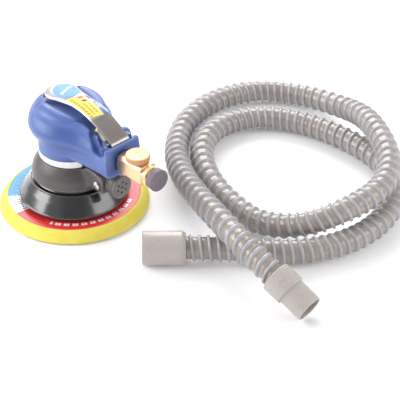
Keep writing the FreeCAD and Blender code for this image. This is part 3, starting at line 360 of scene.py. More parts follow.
def mark_edges(piece, full_turn=50.0, spread=1):
    """Store how sharply the surface turns outward at each point, 0 to 1, for edges that get wear and painted
    highlights.
    """
    work = bmesh.new()
    work.from_mesh(piece.data)
    work.verts.ensure_lookup_table()
    sharp = np.zeros(len(work.verts))
    for edge in work.edges:
        if len(edge.link_faces) == 2:
            turn = edge.calc_face_angle_signed(0.0)
            for vert in edge.verts:
                sharp[vert.index] = max(sharp[vert.index], turn)
    links = np.array([[v.index for v in edge.verts] for edge in work.edges])
    work.free()
    sharp = np.clip(np.degrees(sharp) / full_turn, 0, 1)
    for _ in range(spread):
        total, count = sharp.copy(), np.ones(len(sharp))
        for a, b in ((0, 1), (1, 0)):
            np.add.at(total, links[:, a], sharp[links[:, b]])
            np.add.at(count, links[:, a], 1)
        sharp = total / count
    attribute = piece.data.attributes.new("edge", "FLOAT", "POINT")
    attribute.data.foreach_set("value", np.clip(sharp, 0, 1).astype(np.float32))


def eased(points, radius, closed=False):
    """An outline with its corners eased by curves that start radius away from each corner."""
    count = len(points)
    curve_points = 5
    out = []
    for i, corner in enumerate(points):
        if not closed and i in (0, count - 1):
            out.append(tuple(corner))
            continue
        here = np.array(corner, float)
        before, after = np.array(points[i - 1], float), np.array(points[(i + 1) % count], float)
        reach = min(radius, 0.45 * np.linalg.norm(before - here), 0.45 * np.linalg.norm(after - here))
        if reach < 1e-4:
            out.append(tuple(corner))
            continue
        start = here + (before - here) / np.linalg.norm(before - here) * reach
        end = here + (after - here) / np.linalg.norm(after - here) * reach
        for t in np.linspace(0, 1, curve_points):
            out.append(tuple((1 - t) ** 2 * start + 2 * t * (1 - t) * here + t * t * end))
    return out


def turned(name, outline, material, centre=(0, 0, 0), axis=Z_AXIS, ease=0.4, sides=128, wave=None):
    """A body of revolution from a closed outline of (radius, distance along the axis).

    wave gives what to add to the radius at each turn, from the radius, the distance and the turns.
    """
    outline = eased(outline, ease, closed=True)
    across = Vector(axis).orthogonal().normalized()
    up = Vector(axis).normalized()
    side = up.cross(across)
    turns = np.linspace(0, 2 * math.pi, sides, endpoint=False)
    ring = np.outer(np.cos(turns), across) + np.outer(np.sin(turns), side)
    points = []
    for radius, along in outline:
        reach = np.full(sides, float(radius))
        if wave is not None:
            reach = reach + wave(radius, along, turns)
        points.append(ring * reach[:, None] + np.array(up) * along + np.array(centre, float))
    return make_piece(name, np.concatenate(points), ring_faces(len(outline), sides), material)


def prism(name, outline, low, high, material, axis="X", ease=0.5):
    """An outline pulled along an axis, with its edges eased by a bevel."""
    count = len(outline)
    order = {"X": (2, 0, 1), "Y": (0, 2, 1), "Z": (0, 1, 2)}[axis]
    points = []
    for level in (low, high):
        for first, second in outline:
            raw = (first, second, level)
            points.append([raw[order[0]], raw[order[1]], raw[order[2]]])
    faces = [tuple(range(count)), tuple(range(2 * count - 1, count - 1, -1))]
    faces += [(i, (i + 1) % count, count + (i + 1) % count, count + i) for i in range(count)]
    piece = make_piece(name, points, faces, material, crease=60.0)
    bevel(piece, ease)
    return piece


def bevel(piece, width, segments=3, least=25.0):
    """Round every edge sharper than least degrees, and keep the result in the mesh."""
    work = bmesh.new()
    work.from_mesh(piece.data)
    sharp = [e for e in work.edges if len(e.link_faces) == 2 and e.calc_face_angle(0.0) > math.radians(least)]
    bmesh.ops.bevel(
        work, geom=sharp, offset=width * MM, segments=segments, profile=0.5, affect="EDGES",
        clamp_overlap=True)
    for edge in work.edges:
        edge.smooth = True
    work.to_mesh(piece.data)
    work.free()
    shade(piece.data, 50)


def join(name, pieces):
    """Several objects as one."""
    meshes = bmesh.new()
    slots = []
    for piece in pieces:
        first = len(meshes.faces)
        meshes.from_mesh(piece.data)
        meshes.faces.ensure_lookup_table()
        for face in meshes.faces[first:]:
            material = piece.data.materials[face.material_index]
            if material not in slots:
                slots.append(material)
            face.material_index = slots.index(material)
    whole = bpy.data.meshes.new(name)
    for material in slots:
        whole.materials.append(material)
    meshes.to_mesh(whole)
    meshes.free()
    for piece in pieces:
        bpy.data.objects.remove(piece)
    shade(whole, 40)
    return add(name, whole)


# ---------------------------------------------------------------- moulded shapes, as functions of space


def smooth_min(a, b, blend):
    """The lower of two fields, rounded over a width of blend where they cross."""
    share = np.clip(0.5 + 0.5 * (b - a) / blend, 0, 1)
    return b + (a - b) * share - blend * share * (1 - share)


def smooth_max(a, b, blend):
    """The higher of two fields, rounded in the same way."""
    return -smooth_min(-a, -b, blend)


def through(x, knots):
    """A smooth curve through (x, value) knots, level beyond its ends."""
    xs, ys = np.array(knots, float).T
    slopes = np.gradient(ys, xs)
    x = np.clip(x, xs[0], xs[-1])
    i = np.clip(np.searchsorted(xs, x) - 1, 0, len(xs) - 2)
    step = xs[i + 1] - xs[i]
    t = (x - xs[i]) / step
    start = (1 + 2 * t) * (1 - t) ** 2 * ys[i] + t * (1 - t) ** 2 * step * slopes[i]
    return start + t * t * (3 - 2 * t) * ys[i + 1] + t * t * (t - 1) * step * slopes[i + 1]


def polygonise(field, low, high, step):
    """The surface where field is 0, as points and four-sided faces. The field is negative inside."""
    axes = [np.arange(a, b + step, step) for a, b in zip(low, high)]
    value = field(*np.meshgrid(*axes, indexing="ij"))
    inside = value < 0
    cells = np.array(value.shape) - 1
    total, count = np.zeros((3, *cells)), np.zeros(cells)
    for axis in range(3):
        ends = [slice(None)] * 3, [slice(None)] * 3
        ends[0][axis], ends[1][axis] = slice(None, -1), slice(1, None)
        first, second = value[tuple(ends[0])], value[tuple(ends[1])]
        crossing = (first < 0) != (second < 0)
        share = np.where(crossing, first / np.where(crossing, first - second, 1), 0)
        others = [a for a in range(3) if a != axis]
        for shift_a in (0, 1):
            for shift_b in (0, 1):
                window = [slice(None)] * 3
                for other, shift in zip(others, (shift_a, shift_b)):
                    window[other] = slice(shift, shift + cells[other])
                window = tuple(window)
                hit = crossing[window]
                total[axis] += np.where(hit, share[window], 0)
                total[others[0]] += np.where(hit, shift_a, 0)
                total[others[1]] += np.where(hit, shift_b, 0)
                count += hit
    used = count > 0
    number = np.full(cells, -1)
    number[used] = np.arange(used.sum())
    corner = np.argwhere(used).T
    points = (corner + total[:, used] / count[used]) * step + np.array(low)[:, None]
    faces = []
    for axis in range(3):
        a, b = [other for other in range(3) if other != axis]
        here, ahead = [slice(1, -1)] * 3, [slice(1, -1)] * 3
        here[axis], ahead[axis] = slice(None, -1), slice(1, None)
        start, end = inside[tuple(here)], inside[tuple(ahead)]
        at = np.argwhere(start != end).T
        at[a] += 1
        at[b] += 1
        ring = []
        for shift_a, shift_b in ((-1, -1), (0, -1), (0, 0), (-1, 0)):
            spot = at.copy()
            spot[a] += shift_a
            spot[b] += shift_b
            ring.append(number[tuple(spot)])
        faces.append(np.array(ring).T)
    points = settle_points(field, points, step)
    return points.T, np.concatenate(faces)


def settle_points(field, points, step):
    """Move points onto the surface where field is 0."""
    reach = 0.05
    for _ in range(5):
        value = field(*points)
        slope = np.array([
            (field(*(points + reach * np.eye(3)[axis][:, None]))
             - field(*(points - reach * np.eye(3)[axis][:, None]))) / (2 * reach)
            for axis in range(3)
        ])
        size = np.maximum((slope ** 2).sum(0), 0.05)
        move = -value * slope / size
        length = np.maximum(np.sqrt((move ** 2).sum(0)), 1e-9)
        points = points + move * np.minimum(1, 0.35 * step / length)
    return points


# The dome's side, as (radius, height), and the tail's sections, each as
# (X, lowest, highest, half width low down, half width at the top, squareness).
DOME_MIDDLE = 95.0
DOME = [
    (32.5, 58.0), (32.5, 69.6), (32.5, 77.6), (36.9, 85.6), (38.8, 93.1), (39.6, 100.6), (38.2, 109.6),
    (33.2, 116.4), (25.6, 121.0), (13.0, 122.9), (0.0, 123.4), (-13.0, 122.9),
]
TAIL = [
    (0.0, 70.6, 122.4, 31.0, 31.0, 3.2), (28.0, 71.0, 120.5, 28.5, 24.0, 3.6),
    (46.0, 71.4, 117.0, 25.0, 18.0, 4.0), (62.0, 72.2, 109.6, 22.6, 17.6, 4.6),
    (77.0, 73.4, 105.2, 22.2, 20.8, 5.4),
]
GRIP_LOW, TAIL_END = 69.7, 77.0
PIN_X, PIN_Z = 68.4, 104.6
HEAD_X, RECESS_FLOOR = -10.0, 117.3  # the middle of the lever's round head, and the floor below it
CROWN_CURVE = 203.0  # how flat that floor is across the grip
INLET_Z, KNOB_X = 88.0, 97.5


def tail_value(column, x):
    """A measure of the tail's section at x, from its column of the table."""
    return through(x, [(row[0], row[column]) for row in TAIL])


def tail_field(x, y, z):
    """The arm of the grip: sections that are nearly rectangles, narrower towards the top."""
    low, high, wide_low, wide_high, square = (tail_value(column, x) for column in range(1, 6))
    rise = (high - low) / 2
    up = (z - (low + high) / 2) / rise
    half = wide_low + (wide_high - wide_low) * np.clip((z - low) / (high - low), 0, 1)
    tall, wide = np.abs(up) ** square, (np.abs(y) / half) ** square
    both = np.maximum(tall + wide, 1e-9)
    return (both ** (1 / square) - 1) * (half * wide + rise * tall) / both


def dome_field(x, y, z):
    """The round body of the grip, as a distance from its middle that changes with the angle above it."""
    knots = sorted((math.atan2(h - DOME_MIDDLE, r), math.hypot(r, h - DOME_MIDDLE)) for r, h in DOME)
    out = np.hypot(x, y)
    turn = np.arctan2(z - DOME_MIDDLE, out)
    return np.hypot(out, z - DOME_MIDDLE) - through(turn, knots)


def grip_relief(x, side, z):
    """The grip's flanks: a hollow under the crest, a rounded ridge, and the fingers' hollow below it."""
    flank = np.clip((side - 8) / 12, 0, 1)
    crest = through(x, [(-34, 0.2), (-14, 1.4), (6, 3.2), (30, 3.8), (50, 2.8), (66, 0)])
    crest_z = through(x, [(-28, 112), (0, 110.5), (30, 107.5), (50, 104)])
    ridge = through(x, [(-40, 0.6), (0, 1.5), (40, 1.6), (60, 0.4)])
    ridge_z = through(x, [(-40, 99), (0, 98.5), (30, 96), (60, 92)])
    fingers = through(x, [(-40, 0.6), (-10, 2.2), (20, 3.4), (45, 2.2), (64, 0.3), (77, 0)])
    fingers_z = through(x, [(-40, 84), (20, 84.5), (60, 86)])
    return flank * (
        crest * np.exp(-((z - crest_z) / 4.6) ** 2) - ridge * np.exp(-((z - ridge_z) / 5.0) ** 2)
        + fingers * np.exp(-((z - fingers_z) / 5.0) ** 2))


def lever_way(x, side, z):
    """The space that the lever lies in: a lowered crown that narrows into a channel."""
    lip = np.hypot(np.maximum(2.75 - x, 0), np.maximum(side - 15.7, 0)) - 13.75
    wall = side - through(x, [(-8, 29.5), (6, 29.5), (14, 27.5), (23, 22.5), (31, 16.5), (38, 12.7)])
    plan = np.maximum(np.where(x < 2.75, lip, side - 29.5), wall)
    shoulder = 2.2 * np.clip((side - 13) / 8, 0, 1) * np.clip((34 - x) / 8, 0, 1)
    crown = RECESS_FLOOR + side ** 2 / CROWN_CURVE + shoulder
    slope = np.interp(x, (30, 43, 54, 60, 74.6), (RECESS_FLOOR + 0.5, 109.6, 107.6, 98.8, 98.8))
    floor = np.where(x < 30, crown, np.minimum(crown, slope))
    floor_gap = (floor - z) * 0.85
    way = smooth_max(plan, floor_gap, 0.8)
    return np.maximum(way, x - 74.7)


def grip_field(x, y, z):
    """The moulded grip: dome and tail as one, with hollows, the lever's way and the bores cut out."""
    side = np.abs(y)
    body = smooth_min(dome_field(x, y, z), np.maximum(tail_field(x, y, z), -8 - x), 7.0)
    body = body + grip_relief(x, side, z)
    ears = np.sqrt((x - 74.2) ** 2 + (side - 18.4) ** 2 + (z - 102.6) ** 2) - 3.0
    body = smooth_min(body, ears, 2.0)
    dish = 1.4 * np.clip(1 - (side / 17.5) ** 4, 0, 1) * np.clip(1 - np.abs((z - 91) / 12.0) ** 4, 0, 1)
    body = smooth_max(body, x - TAIL_END + dish, 1.0)
    body = smooth_max(body, GRIP_LOW - z, 1.2)
    body = smooth_max(body, -np.where(y < 0, notch_field(x, side, z), 9.0), 1.4)
    lobe = np.sqrt((x - 62.0) ** 2 + (y - 15.2) ** 2 + (z - 104.0) ** 2) - 6.3
    body = smooth_min(body, lobe, 2.0)
    rim_blend = through(x, [(-16, 1.0), (0, 2.6), (12, 5.0), (44, 4.0), (64, 1.2)])
    cuts = [
        (lever_way(x, side, z), rim_blend),
        (smooth_max(np.hypot(x - HEAD_X, y) - 17.8, RECESS_FLOOR + side ** 2 / CROWN_CURVE - z, 0.6), 0.8),
        (smooth_max(np.hypot(x, y) - 28.3, z - 110.1, 0.3), 0.3),
        (np.maximum(np.hypot(y, z - INLET_Z) - 9.6, 20 - x), 0.3),
        (np.maximum(np.hypot(x - 50, y) - 8.7, 78.4 - z), 0.3),
        (np.maximum(np.hypot(x - PIN_X, z - PIN_Z) - 2.1, 12 - side), 0.3),
    ]
    for cut, blend in cuts:
        body = smooth_max(body, -cut, blend)
    return body


def notch_field(x, side, z):
    """The scoop beside the lever pin, wide at the grip's flank and closed by a wall behind the pin."""
    wall = through(x, [(48, 12.2), (56, 12.4), (63, 13.2), (72, 14.6), (80, 14.6)])
    along = np.clip(((63.3 - x) * 5.3 + (z - 104.5) * 5.5) / 58.3, 0, 1)
    scoop = np.hypot(x - 63.3 + 5.3 * along, z - 104.5 - 5.5 * along) - 10.5
    return smooth_max(scoop, wall - side, 1.5)


def make_grip():
    points, faces = polygonise(grip_field, (-43, -43, 66), (80, 43, 128), 1.0)
    grip = make_piece("grip", points, faces, "grip_rubber", crease=50.0)
    mark_edges(grip, full_turn=34.0)
    settle(grip, "housing", "grip_rubber", "grip_shell")


# The cup's side, as (height, radius), and the arm that holds the muffler.
CUP = [
    (30.0, 40.9), (41.0, 40.9), (45.6, 40.5), (50.6, 39.2), (56.4, 36.2), (61.6, 32.2), (66.0, 28.0),
]
EXHAUST_Z, ARM_END, ARM_HALF = 54.6, 60.0, 13.5


def cup_field(x, y, z):
    """The round cup with its arm, hollow below and bored for the exhaust."""
    out = np.hypot(x, y)
    bowl = (out - through(z, CUP)) * 0.86
    bowl = smooth_max(smooth_max(bowl, 40.0 - z, 0.7), z - 61.6, 0.7)
    top = np.interp(x, (28, 33.2, 34.8, 44, 58, 60), (60.6, 61.4, 65.0, 65.6, 63.2, 61.2))
    arm = smooth_max(np.abs(y) - ARM_HALF, smooth_max(z - top, EXHAUST_Z - 9.4 - z, 2.0), 2.2)
    arm = smooth_max(smooth_max(arm, x - ARM_END, 1.2), 28 - x, 0.5)
    body = smooth_min(bowl, arm, 5.0)
    body = smooth_max(body, z - np.where(x < 33.4, 61.6, 65.8), 0.4)
    body = smooth_max(body, 40.0 - z, 0.7)
    inner = np.interp(z, (46.4, 50.4, 58.0), (37.65, 36.3, 32.5))
    inside = np.maximum(np.maximum(out - inner, z - 58.0), 30 - z)
    port = np.maximum(np.hypot(y, z - EXHAUST_Z) - 6.0, 24 - x)
    for cut in (inside, port, np.maximum(out - 27.95, 50 - z)):
        body = smooth_max(body, -cut, 0.3)
    return body


def make_cup():
    points, faces = polygonise(cup_field, (-43, -43, 38), (63, 43, 68), 0.9)
    cup = make_piece("shroud", points, faces, "cup_plastic", crease=50.0)
    mark_edges(cup, full_turn=40.0)
    settle(cup, "housing", "cup_plastic", "shroud_cup")


def make_screws():
    """The two cross-slotted screws that clamp the exhaust arm."""
    x_at, z_at, head, face = 52.7, 53.2, 4.4, 13.5

    def screw(x, y, z):
        out = np.hypot(x, z)
        dome = smooth_max(out - head, y - (3.2 - 0.06 * out ** 2), 0.5)
        dome = smooth_max(dome, -y, 0.2)
        blade = np.minimum(
            np.maximum(np.abs(x + z) - 0.75, np.abs(x - z) - 4.0),
            np.maximum(np.abs(x - z) - 0.75, np.abs(x + z) - 4.0))
        shank = np.maximum(out - 2.0, np.maximum(y - 1, -3.4 - y))
        return smooth_min(smooth_max(dome, -np.maximum(blade, 1.5 - y), 0.25), shank, 0.3)

    points, faces = polygonise(screw, (-5, -4, -5), (5, 4, 5), 0.2)
    screws = []
    for way in (-1, 1):
        placed = points * (1, way, 1) + (x_at, way * face, z_at)
        screws.append(make_piece("exhaust_screw", placed, faces, "zinc_steel", crease=50.0))
    settle(join("exhaust_screw_pair", screws), "housing", "zinc_steel", "exhaust_screws")


# ---------------------------------------------------------------- turned and built pieces


def make_skirt():
    """The flared rubber skirt with its step below the cup."""
    top = node_box("skirt")[1].z
    skirt = turned("skirt_shell", [
        (52.0, 16.6), (54.0, 16.6), (54.6, 17.4), (54.3, 18.6), (53.6, 19.2), (53.2, 19.9), (47.6, 28.2),
        (42.5, 34.9), (42.1, 35.9), (41.2, 36.4), (38.6, 36.4), (37.6, 37.6), (37.6, top), (35.4, top),
        (35.4, 35.2), (39.1, 34.0), (51.6, 18.0),
    ], "skirt_gloss", ease=0.5, sides=192)
    mark_edges(skirt, full_turn=60.0, spread=0)
    settle(skirt, "housing", "skirt_gloss", "skirt")


def make_foam(middle):
    """The foam pad, round its own axis, which lies beside the motor's."""
    foam = turned("pad_foam_ring", [
        (0.0, 1.4), (75.0, 1.4), (75.2, 2.6), (74.6, 4.4), (73.2, 6.8), (70.8, 9.8), (68.6, 12.0),
        (67.2, 12.6), (66.45, 12.6), (66.45, 9.6), (27.0, 9.6), (27.0, 4.0), (0.0, 4.0),
    ], "foam", middle, ease=0.7, sides=240)
    settle(foam, "pad", "foam", "pad_foam")


def make_hooks(middle):
    """The hook face that the sanding disc sticks to."""
    hooks = turned("hook_disc", [(0.0, 0.0), (73.2, 0.0), (73.8, 0.5), (74.0, 1.4), (0.0, 1.4)],
                   "hook_fabric", middle, ease=0.2, sides=192)
    settle(hooks, "pad", "hook_fabric", "hook_face")


def make_print(middle):
    """The printed disc on the pad: coloured fields, and rows of short dashes in place of words."""
    low, high = node_box("label_disc")
    inner, outer, under, top = 14.0, 66.4, low.z, high.z
    names = ("pad_pink", "pad_red", "pad_sky", "film_white", "print_black")
    pink, red, sky, white, black = range(5)
    steps, rings = 720, 132
    radii = np.linspace(inner, outer - 0.2, rings + 1)

    def colour(angle, radius):
        x, y = radius * math.cos(angle), radius * math.sin(angle)
        turn = math.degrees(angle)
        field = pink
        if -178 < turn < -125.5 or turn > 118:
            field = sky
        elif turn < -98.5 or 92 < turn:
            field = white
        elif math.hypot(x - 9, y + 7) < 54.0:
            field = red
        row, place = math.floor((radius - 50.5) / 1.6), (radius - 50.5) % 1.6
        dash = turn % 3.4 < 2.1 and place < 0.85
        if field == white and 51 < radius < 62 and dash and (row % 2 or turn % 17 < 9):
            return black
        if field == sky and 54 < radius < 61 and turn % 6 < 1.6 and place < 0.85:
            return black
        if -98 < turn < -70 and 50 < radius < 58 and dash and row % 2 == 0:
            return black
        wide = turn % 8.4
        if -64 < turn < 33 and 56.3 < radius < 60.4 and wide < 5.6 and not (2.2 < wide < 3.4 and place < 0.8):
            return white
        return field

    turns = np.linspace(-math.pi, math.pi, steps, endpoint=False)
    ring = np.stack([np.cos(turns), np.sin(turns)], 1)
    centre = np.array(middle[:2])
    points = [np.column_stack([ring * radius + centre, np.full(steps, top)]) for radius in radii]
    rim = [(outer, top - 0.15), (outer, under), (inner, under)]
    points += [np.column_stack([ring * radius + centre, np.full(steps, z)]) for radius, z in rim]
    fields = []
    for i in range(len(points)):
        reach = (radii[i] + radii[i + 1]) / 2 if i < rings else outer - 0.3
        fields += [colour(turn + math.pi / steps, reach) for turn in turns]
    faces = ring_faces(len(points), steps)
    disc = coloured("pad_print_disc", np.concatenate(points), faces, fields, names)
    settle(disc, "pad", "pad_print", "label_disc")


def make_pad():
    """The foam, the hook face and the printed disc, all round the pad's axis."""
    low, high = node_box("pad_foam")
    middle = ((low.x + high.x) / 2, (low.y + high.y) / 2, 0)
    make_foam(middle)
    make_hooks(middle)
    make_print(middle)


def make_regulator():
    """The brass block, with its round shank in the grip's tail and the seat of the knob."""
    height, half, cut = INLET_Z, 9.6, 2.4
    back = node_box("regulator_body")[1].x
    section = [
        (-half, height - half + cut), (-half + cut, height - half), (half - cut, height - half),
        (half, height - half + cut), (half, height + half - cut), (half - cut, height + half),
        (-half + cut, height + half), (-half, height + half - cut),
    ]
    block = prism("brass_block", section, 78.4, back, "brass", ease=0.6)
    shank = turned("brass_shank", [
        (0.0, 70.0), (5.9, 70.0), (5.9, 79.0), (9.2, 79.6), (9.2, 82.0), (0.0, 82.0),
    ], "brass", (0, 0, height), X_AXIS, ease=0.5, sides=64)
    seat = turned("knob_seat", [
        (0.0, 97.0), (8.6, 97.0), (8.6, 97.9), (0.0, 97.9),
    ], "brass", (KNOB_X, 0, 0), ease=0.2, sides=64)
    settle(join("regulator_block", [block, shank, seat]), "housing", "brass", "regulator_body")


def make_inlet():
    """The hexagon behind the block, and the tip that the dust cap sits on."""
    turns = [math.radians(60 * i + 30) for i in range(6)]
    corners = [(10.9 * math.cos(turn), INLET_Z + 10.9 * math.sin(turn)) for turn in turns]
    hexagon = prism("hexagon", corners, 111.1, 117.4, "brass", ease=0.7)
    tip = turned("inlet_thread", [
        (3.6, 106.0), (5.9, 106.0), (5.9, 117.0), (8.4, 117.6), (8.4, 119.6), (6.0, 120.0), (6.0, 122.6),
        (3.6, 122.6),
    ], "brass", (0, 0, INLET_Z), X_AXIS, ease=0.3, sides=48)
    settle(join("inlet_hexagon", [hexagon, tip]), "housing", "brass", "inlet_nipple")


def make_knob():
    """The regulator's knob, knurled round its side."""
    def knurl(radius, along, turns):
        teeth = np.cos(64 * turns)
        return 0.28 * teeth if radius > 10.9 and 98.8 < along < 103.4 else 0.0 * teeth

    knob = turned("knurled_knob", [
        (2.3, 98.0), (10.4, 98.0), (11.2, 98.5), (11.3, 99.0), (11.3, 103.2), (11.2, 103.8), (10.6, 104.2),
        (9.4, 104.2), (9.2, 103.9), (3.2, 103.9), (2.8, 103.6), (0.0, 103.6), (0.0, 102.2), (2.3, 102.2),
    ], "knob_brass", (KNOB_X, 0, 0), ease=0.25, sides=320, wave=knurl)
    settle(knob, "knob", "knob_brass", "regulator_knob")


def make_cap():
    """The dust cap on the air inlet."""
    cap = turned("inlet_dust_cap", [
        (8.6, 119.4), (10.0, 119.4), (10.3, 120.4), (10.8, 126.0), (10.4, 126.9), (9.4, 127.0), (9.0, 126.8),
        (0.0, 126.8), (0.0, 123.0), (6.2, 123.0), (6.2, 120.2), (8.6, 120.2),
    ], "cap_black", (0, 0, INLET_Z), X_AXIS, ease=0.4)
    mark_edges(cap, full_turn=60.0)
    settle(cap, "cap", "cap_black", "inlet_cap")


def make_collar():
    """The ring between the exhaust arm and the muffler."""
    collar = turned("exhaust_ring", [
        (6.05, 60.02), (10.2, 60.02), (10.7, 60.8), (10.7, 62.2), (10.2, 63.0), (6.05, 63.0),
    ], "muffler_plastic", (0, 0, EXHAUST_Z), X_AXIS, ease=0.5, sides=96)
    settle(collar, "housing", "muffler_plastic", "exhaust_collar")


def make_muffler():
    """The muffler's flared shell, from the arm's end to its face."""
    start, face = ARM_END, 73.8
    shell = turned("muffler_shell", [
        (5.0, start - 6), (5.95, start - 6), (5.95, start + 3), (10.3, start + 3.1), (10.3, face - 5.2),
        (10.6, face - 4.4), (11.4, face - 2.6), (11.6, face - 1.65), (10.0, face - 1.65), (7.0, face - 5.0),
        (7.0, start + 5), (5.0, start + 5),
    ], "muffler_plastic", (0, 0, EXHAUST_Z), X_AXIS, ease=0.4, sides=96)
    settle(shell, "housing", "muffler_plastic", "muffler_body")


# ---------------------------------------------------------------- lever and its stickers

LEVER_TOP = [
    (-27.0, 124.9), (-10.0, 126.0), (6.0, 126.6), (20.0, 127.0), (32.0, 126.2), (44.0, 123.2), (58.0, 116.6),
    (74.4, 107.4),
]
HEAD_RADIUS, LEVER_HALF, SHEET = 16.5, 11.3, 1.5


def lever_top(x, y):
    """The sheet's top: a line along the middle, and a crown that falls to nothing at the edges."""
    crown = through(x, [(-10.0, 4.2), (8.0, 4.3), (22.0, 3.4), (36.0, 1.4), (50.0, 0.0)])
    if x < HEAD_X:
        share = math.hypot(x - HEAD_X, y) / HEAD_RADIUS
    else:
        share = abs(y) / lever_half_width(x)
    return float(through(x, LEVER_TOP) + crown * max(0.0, 1 - share ** 2))


def lever_half_width(x):
    """Half the lever's width: a round head whose sides run straight into the arm's."""
    lean = math.radians(62.6)
    neck_x, neck_half = HEAD_X + HEAD_RADIUS * math.cos(lean), HEAD_RADIUS * math.sin(lean)
    end = HEAD_X + 26.0
    if x < neck_x:
        return math.sqrt(max(HEAD_RADIUS ** 2 - (x - HEAD_X) ** 2, 0.0))
    if x < end:
        share = (x - neck_x) / (end - neck_x)
        return neck_half + (LEVER_HALF - neck_half) * share ** 0.85
    return LEVER_HALF


def make_lever():
    """Pressed sheet: the top plate with its rolled rim, and the two cheeks that hold the pin."""
    tip = [HEAD_X - HEAD_RADIUS * math.cos(t) for t in np.linspace(0, math.pi / 2, 22)]
    stations = tip + list(np.arange(HEAD_X + 1.5, 72.6, 1.5)) + [73.2, 73.9, 74.3]
    across = np.sin(np.linspace(-math.pi / 2, math.pi / 2, 29))
    rows = []
    for x in stations:
        half = max(lever_half_width(x), 0.02)
        roll = 0.0 if x < 72.0 else 0.25 * (x - 72.0) ** 2
        line = []
        for t in across:
            edge_drop = 0.5 * max(0.0, abs(t) * half - half + 1.2) ** 2
            line.append((x, half * t, lever_top(x, half * t) - roll - edge_drop))
        rows.append(line)
    top_points = np.array(rows).reshape(-1, 3)
    under_points = top_points - (0, 0, SHEET - 0.3)
    count, wide = len(stations), len(across)
    shift = count * wide
    faces = []
    for i in range(count - 1):
        for j in range(wide - 1):
            a, b = i * wide + j, (i + 1) * wide + j
            faces += [(a, b, b + 1, a + 1), (a + shift, a + 1 + shift, b + 1 + shift, b + shift)]
    faces += [(a, b, b + shift, a + shift) for a, b in border_steps(count, wide)]
    plate = make_piece("lever_plate", np.concatenate([top_points, under_points]), faces, "lever_steel")
    bevel(plate, 0.35, segments=3, least=50.0)
    profile = [
        (54.0, 112.6), (62.6, 101.8), (72.0, 101.8), (72.6, 102.4), (72.6, 108.0), (60.0, 115.0),
        (54.0, 118.0),
    ]
    cheeks = [
        prism("lever_cheek", profile, start, start + SHEET, "lever_steel", axis="Y", ease=0.3)
        for start in (-LEVER_HALF, LEVER_HALF - SHEET)
    ]
    lever = join("lever_pressing", [plate] + cheeks)
    mark_edges(lever, full_turn=90.0, spread=0)
    settle(lever, "lever", "lever_steel", "throttle_lever")


def make_pin():
    """The rolled pin that the lever turns on."""
    pin = turned("lever_roll_pin", [
        (0.75, -14.6), (1.25, -14.6), (1.5, -14.2), (1.5, 14.2), (1.25, 14.6), (0.75, 14.6),
    ], "zinc_steel", (PIN_X, 0, PIN_Z), Y_AXIS, ease=0.1, sides=40)
    settle(pin, "housing", "zinc_steel", "lever_pin")


def make_badge():
    """A domed oval with a darker rim, and a slanted band of pale dashes in place of a name."""
    middle, long_half, short_half, rise = -2.2, 15.0, 12.0, 0.6
    rings, steps = 30, 160
    names = ("badge_blue", "badge_rim", "film_white")
    points, faces, fields = [], [], []
    for i in range(rings + 1):
        share = i / rings
        for j in range(steps):
            turn = 2 * math.pi * j / steps
            x, y = middle + long_half * share * math.cos(turn), short_half * share * math.sin(turn)
            lift = 0.15 + (rise - 0.15) * math.sqrt(max(0.0, 1 - share ** 4))
            points.append((x, y, lever_top(x, y) + lift))
    for i in range(rings):
        for j in range(steps):
            after = (j + 1) % steps
            faces.append((i * steps + j, (i + 1) * steps + j, (i + 1) * steps + after, i * steps + after))
            share, turn = (i + 0.5) / rings, 2 * math.pi * (j + 0.5) / steps
            x, y = long_half * share * math.cos(turn), short_half * share * math.sin(turn)
            slant, level = y * 0.97 - x * 0.26, x * 0.97 + y * 0.26
            bar = abs(slant) < 8.8 and slant % 2.9 < 1.9 and abs(level) < 0.75 + 0.12 * abs(slant)
            fields.append(1 if share > 0.955 else 2 if bar else 0)
    edge = rings * steps
    bottom = len(points)
    for j in range(steps):
        x, y, _ = points[edge + j]
        points.append((x, y, lever_top(x, y) - 0.02))
    for j in range(steps):
        after = (j + 1) % steps
        faces.append((edge + j, bottom + j, bottom + after, edge + after))
        fields.append(1)
    faces.append(tuple(bottom + j for j in reversed(range(steps))))
    fields.append(1)
    badge = coloured("lever_badge_dome", points, faces, fields, names)
    settle(badge, "lever", "badge_blue", "lever_badge")


def film(name, near, far, y_low, y_high, names, colour):
    """A thin sticker on the lever, whose cells are coloured by a function of their place.

    near and far are where it starts and ends along X, at its -Y and its +Y side.
    """
    thick, cell = 0.16, 0.25
    count, wide = round((far[1] - far[0]) / cell) + 1, round((y_high - y_low) / cell) + 1
    top, under = [], []
    for along in np.linspace(0, 1, count):
        for across in np.linspace(0, 1, wide):
            start = near[0] + (far[0] - near[0]) * across
            end = near[1] + (far[1] - near[1]) * across
            x, y = start + (end - start) * along, y_low + (y_high - y_low) * across
            z = lever_top(x, y)
            top.append((x, y, z + thick))
            under.append((x, y, z - 0.02))
    shift = count * wide
    faces, fields = [], []
    for i in range(count - 1):
        for j in range(wide - 1):
            a, b = i * wide + j, (i + 1) * wide + j
            faces += [(a, b, b + 1, a + 1), (a + shift, a + 1 + shift, b + 1 + shift, b + shift)]
            fields += [colour((i + 0.5) * cell, (j + 0.5) * cell), 0]
    for a, b in border_steps(count, wide):
        faces.append((a, a + shift, b + shift, b))
        fields.append(0)
    return coloured(name, top + under, faces, fields, names)


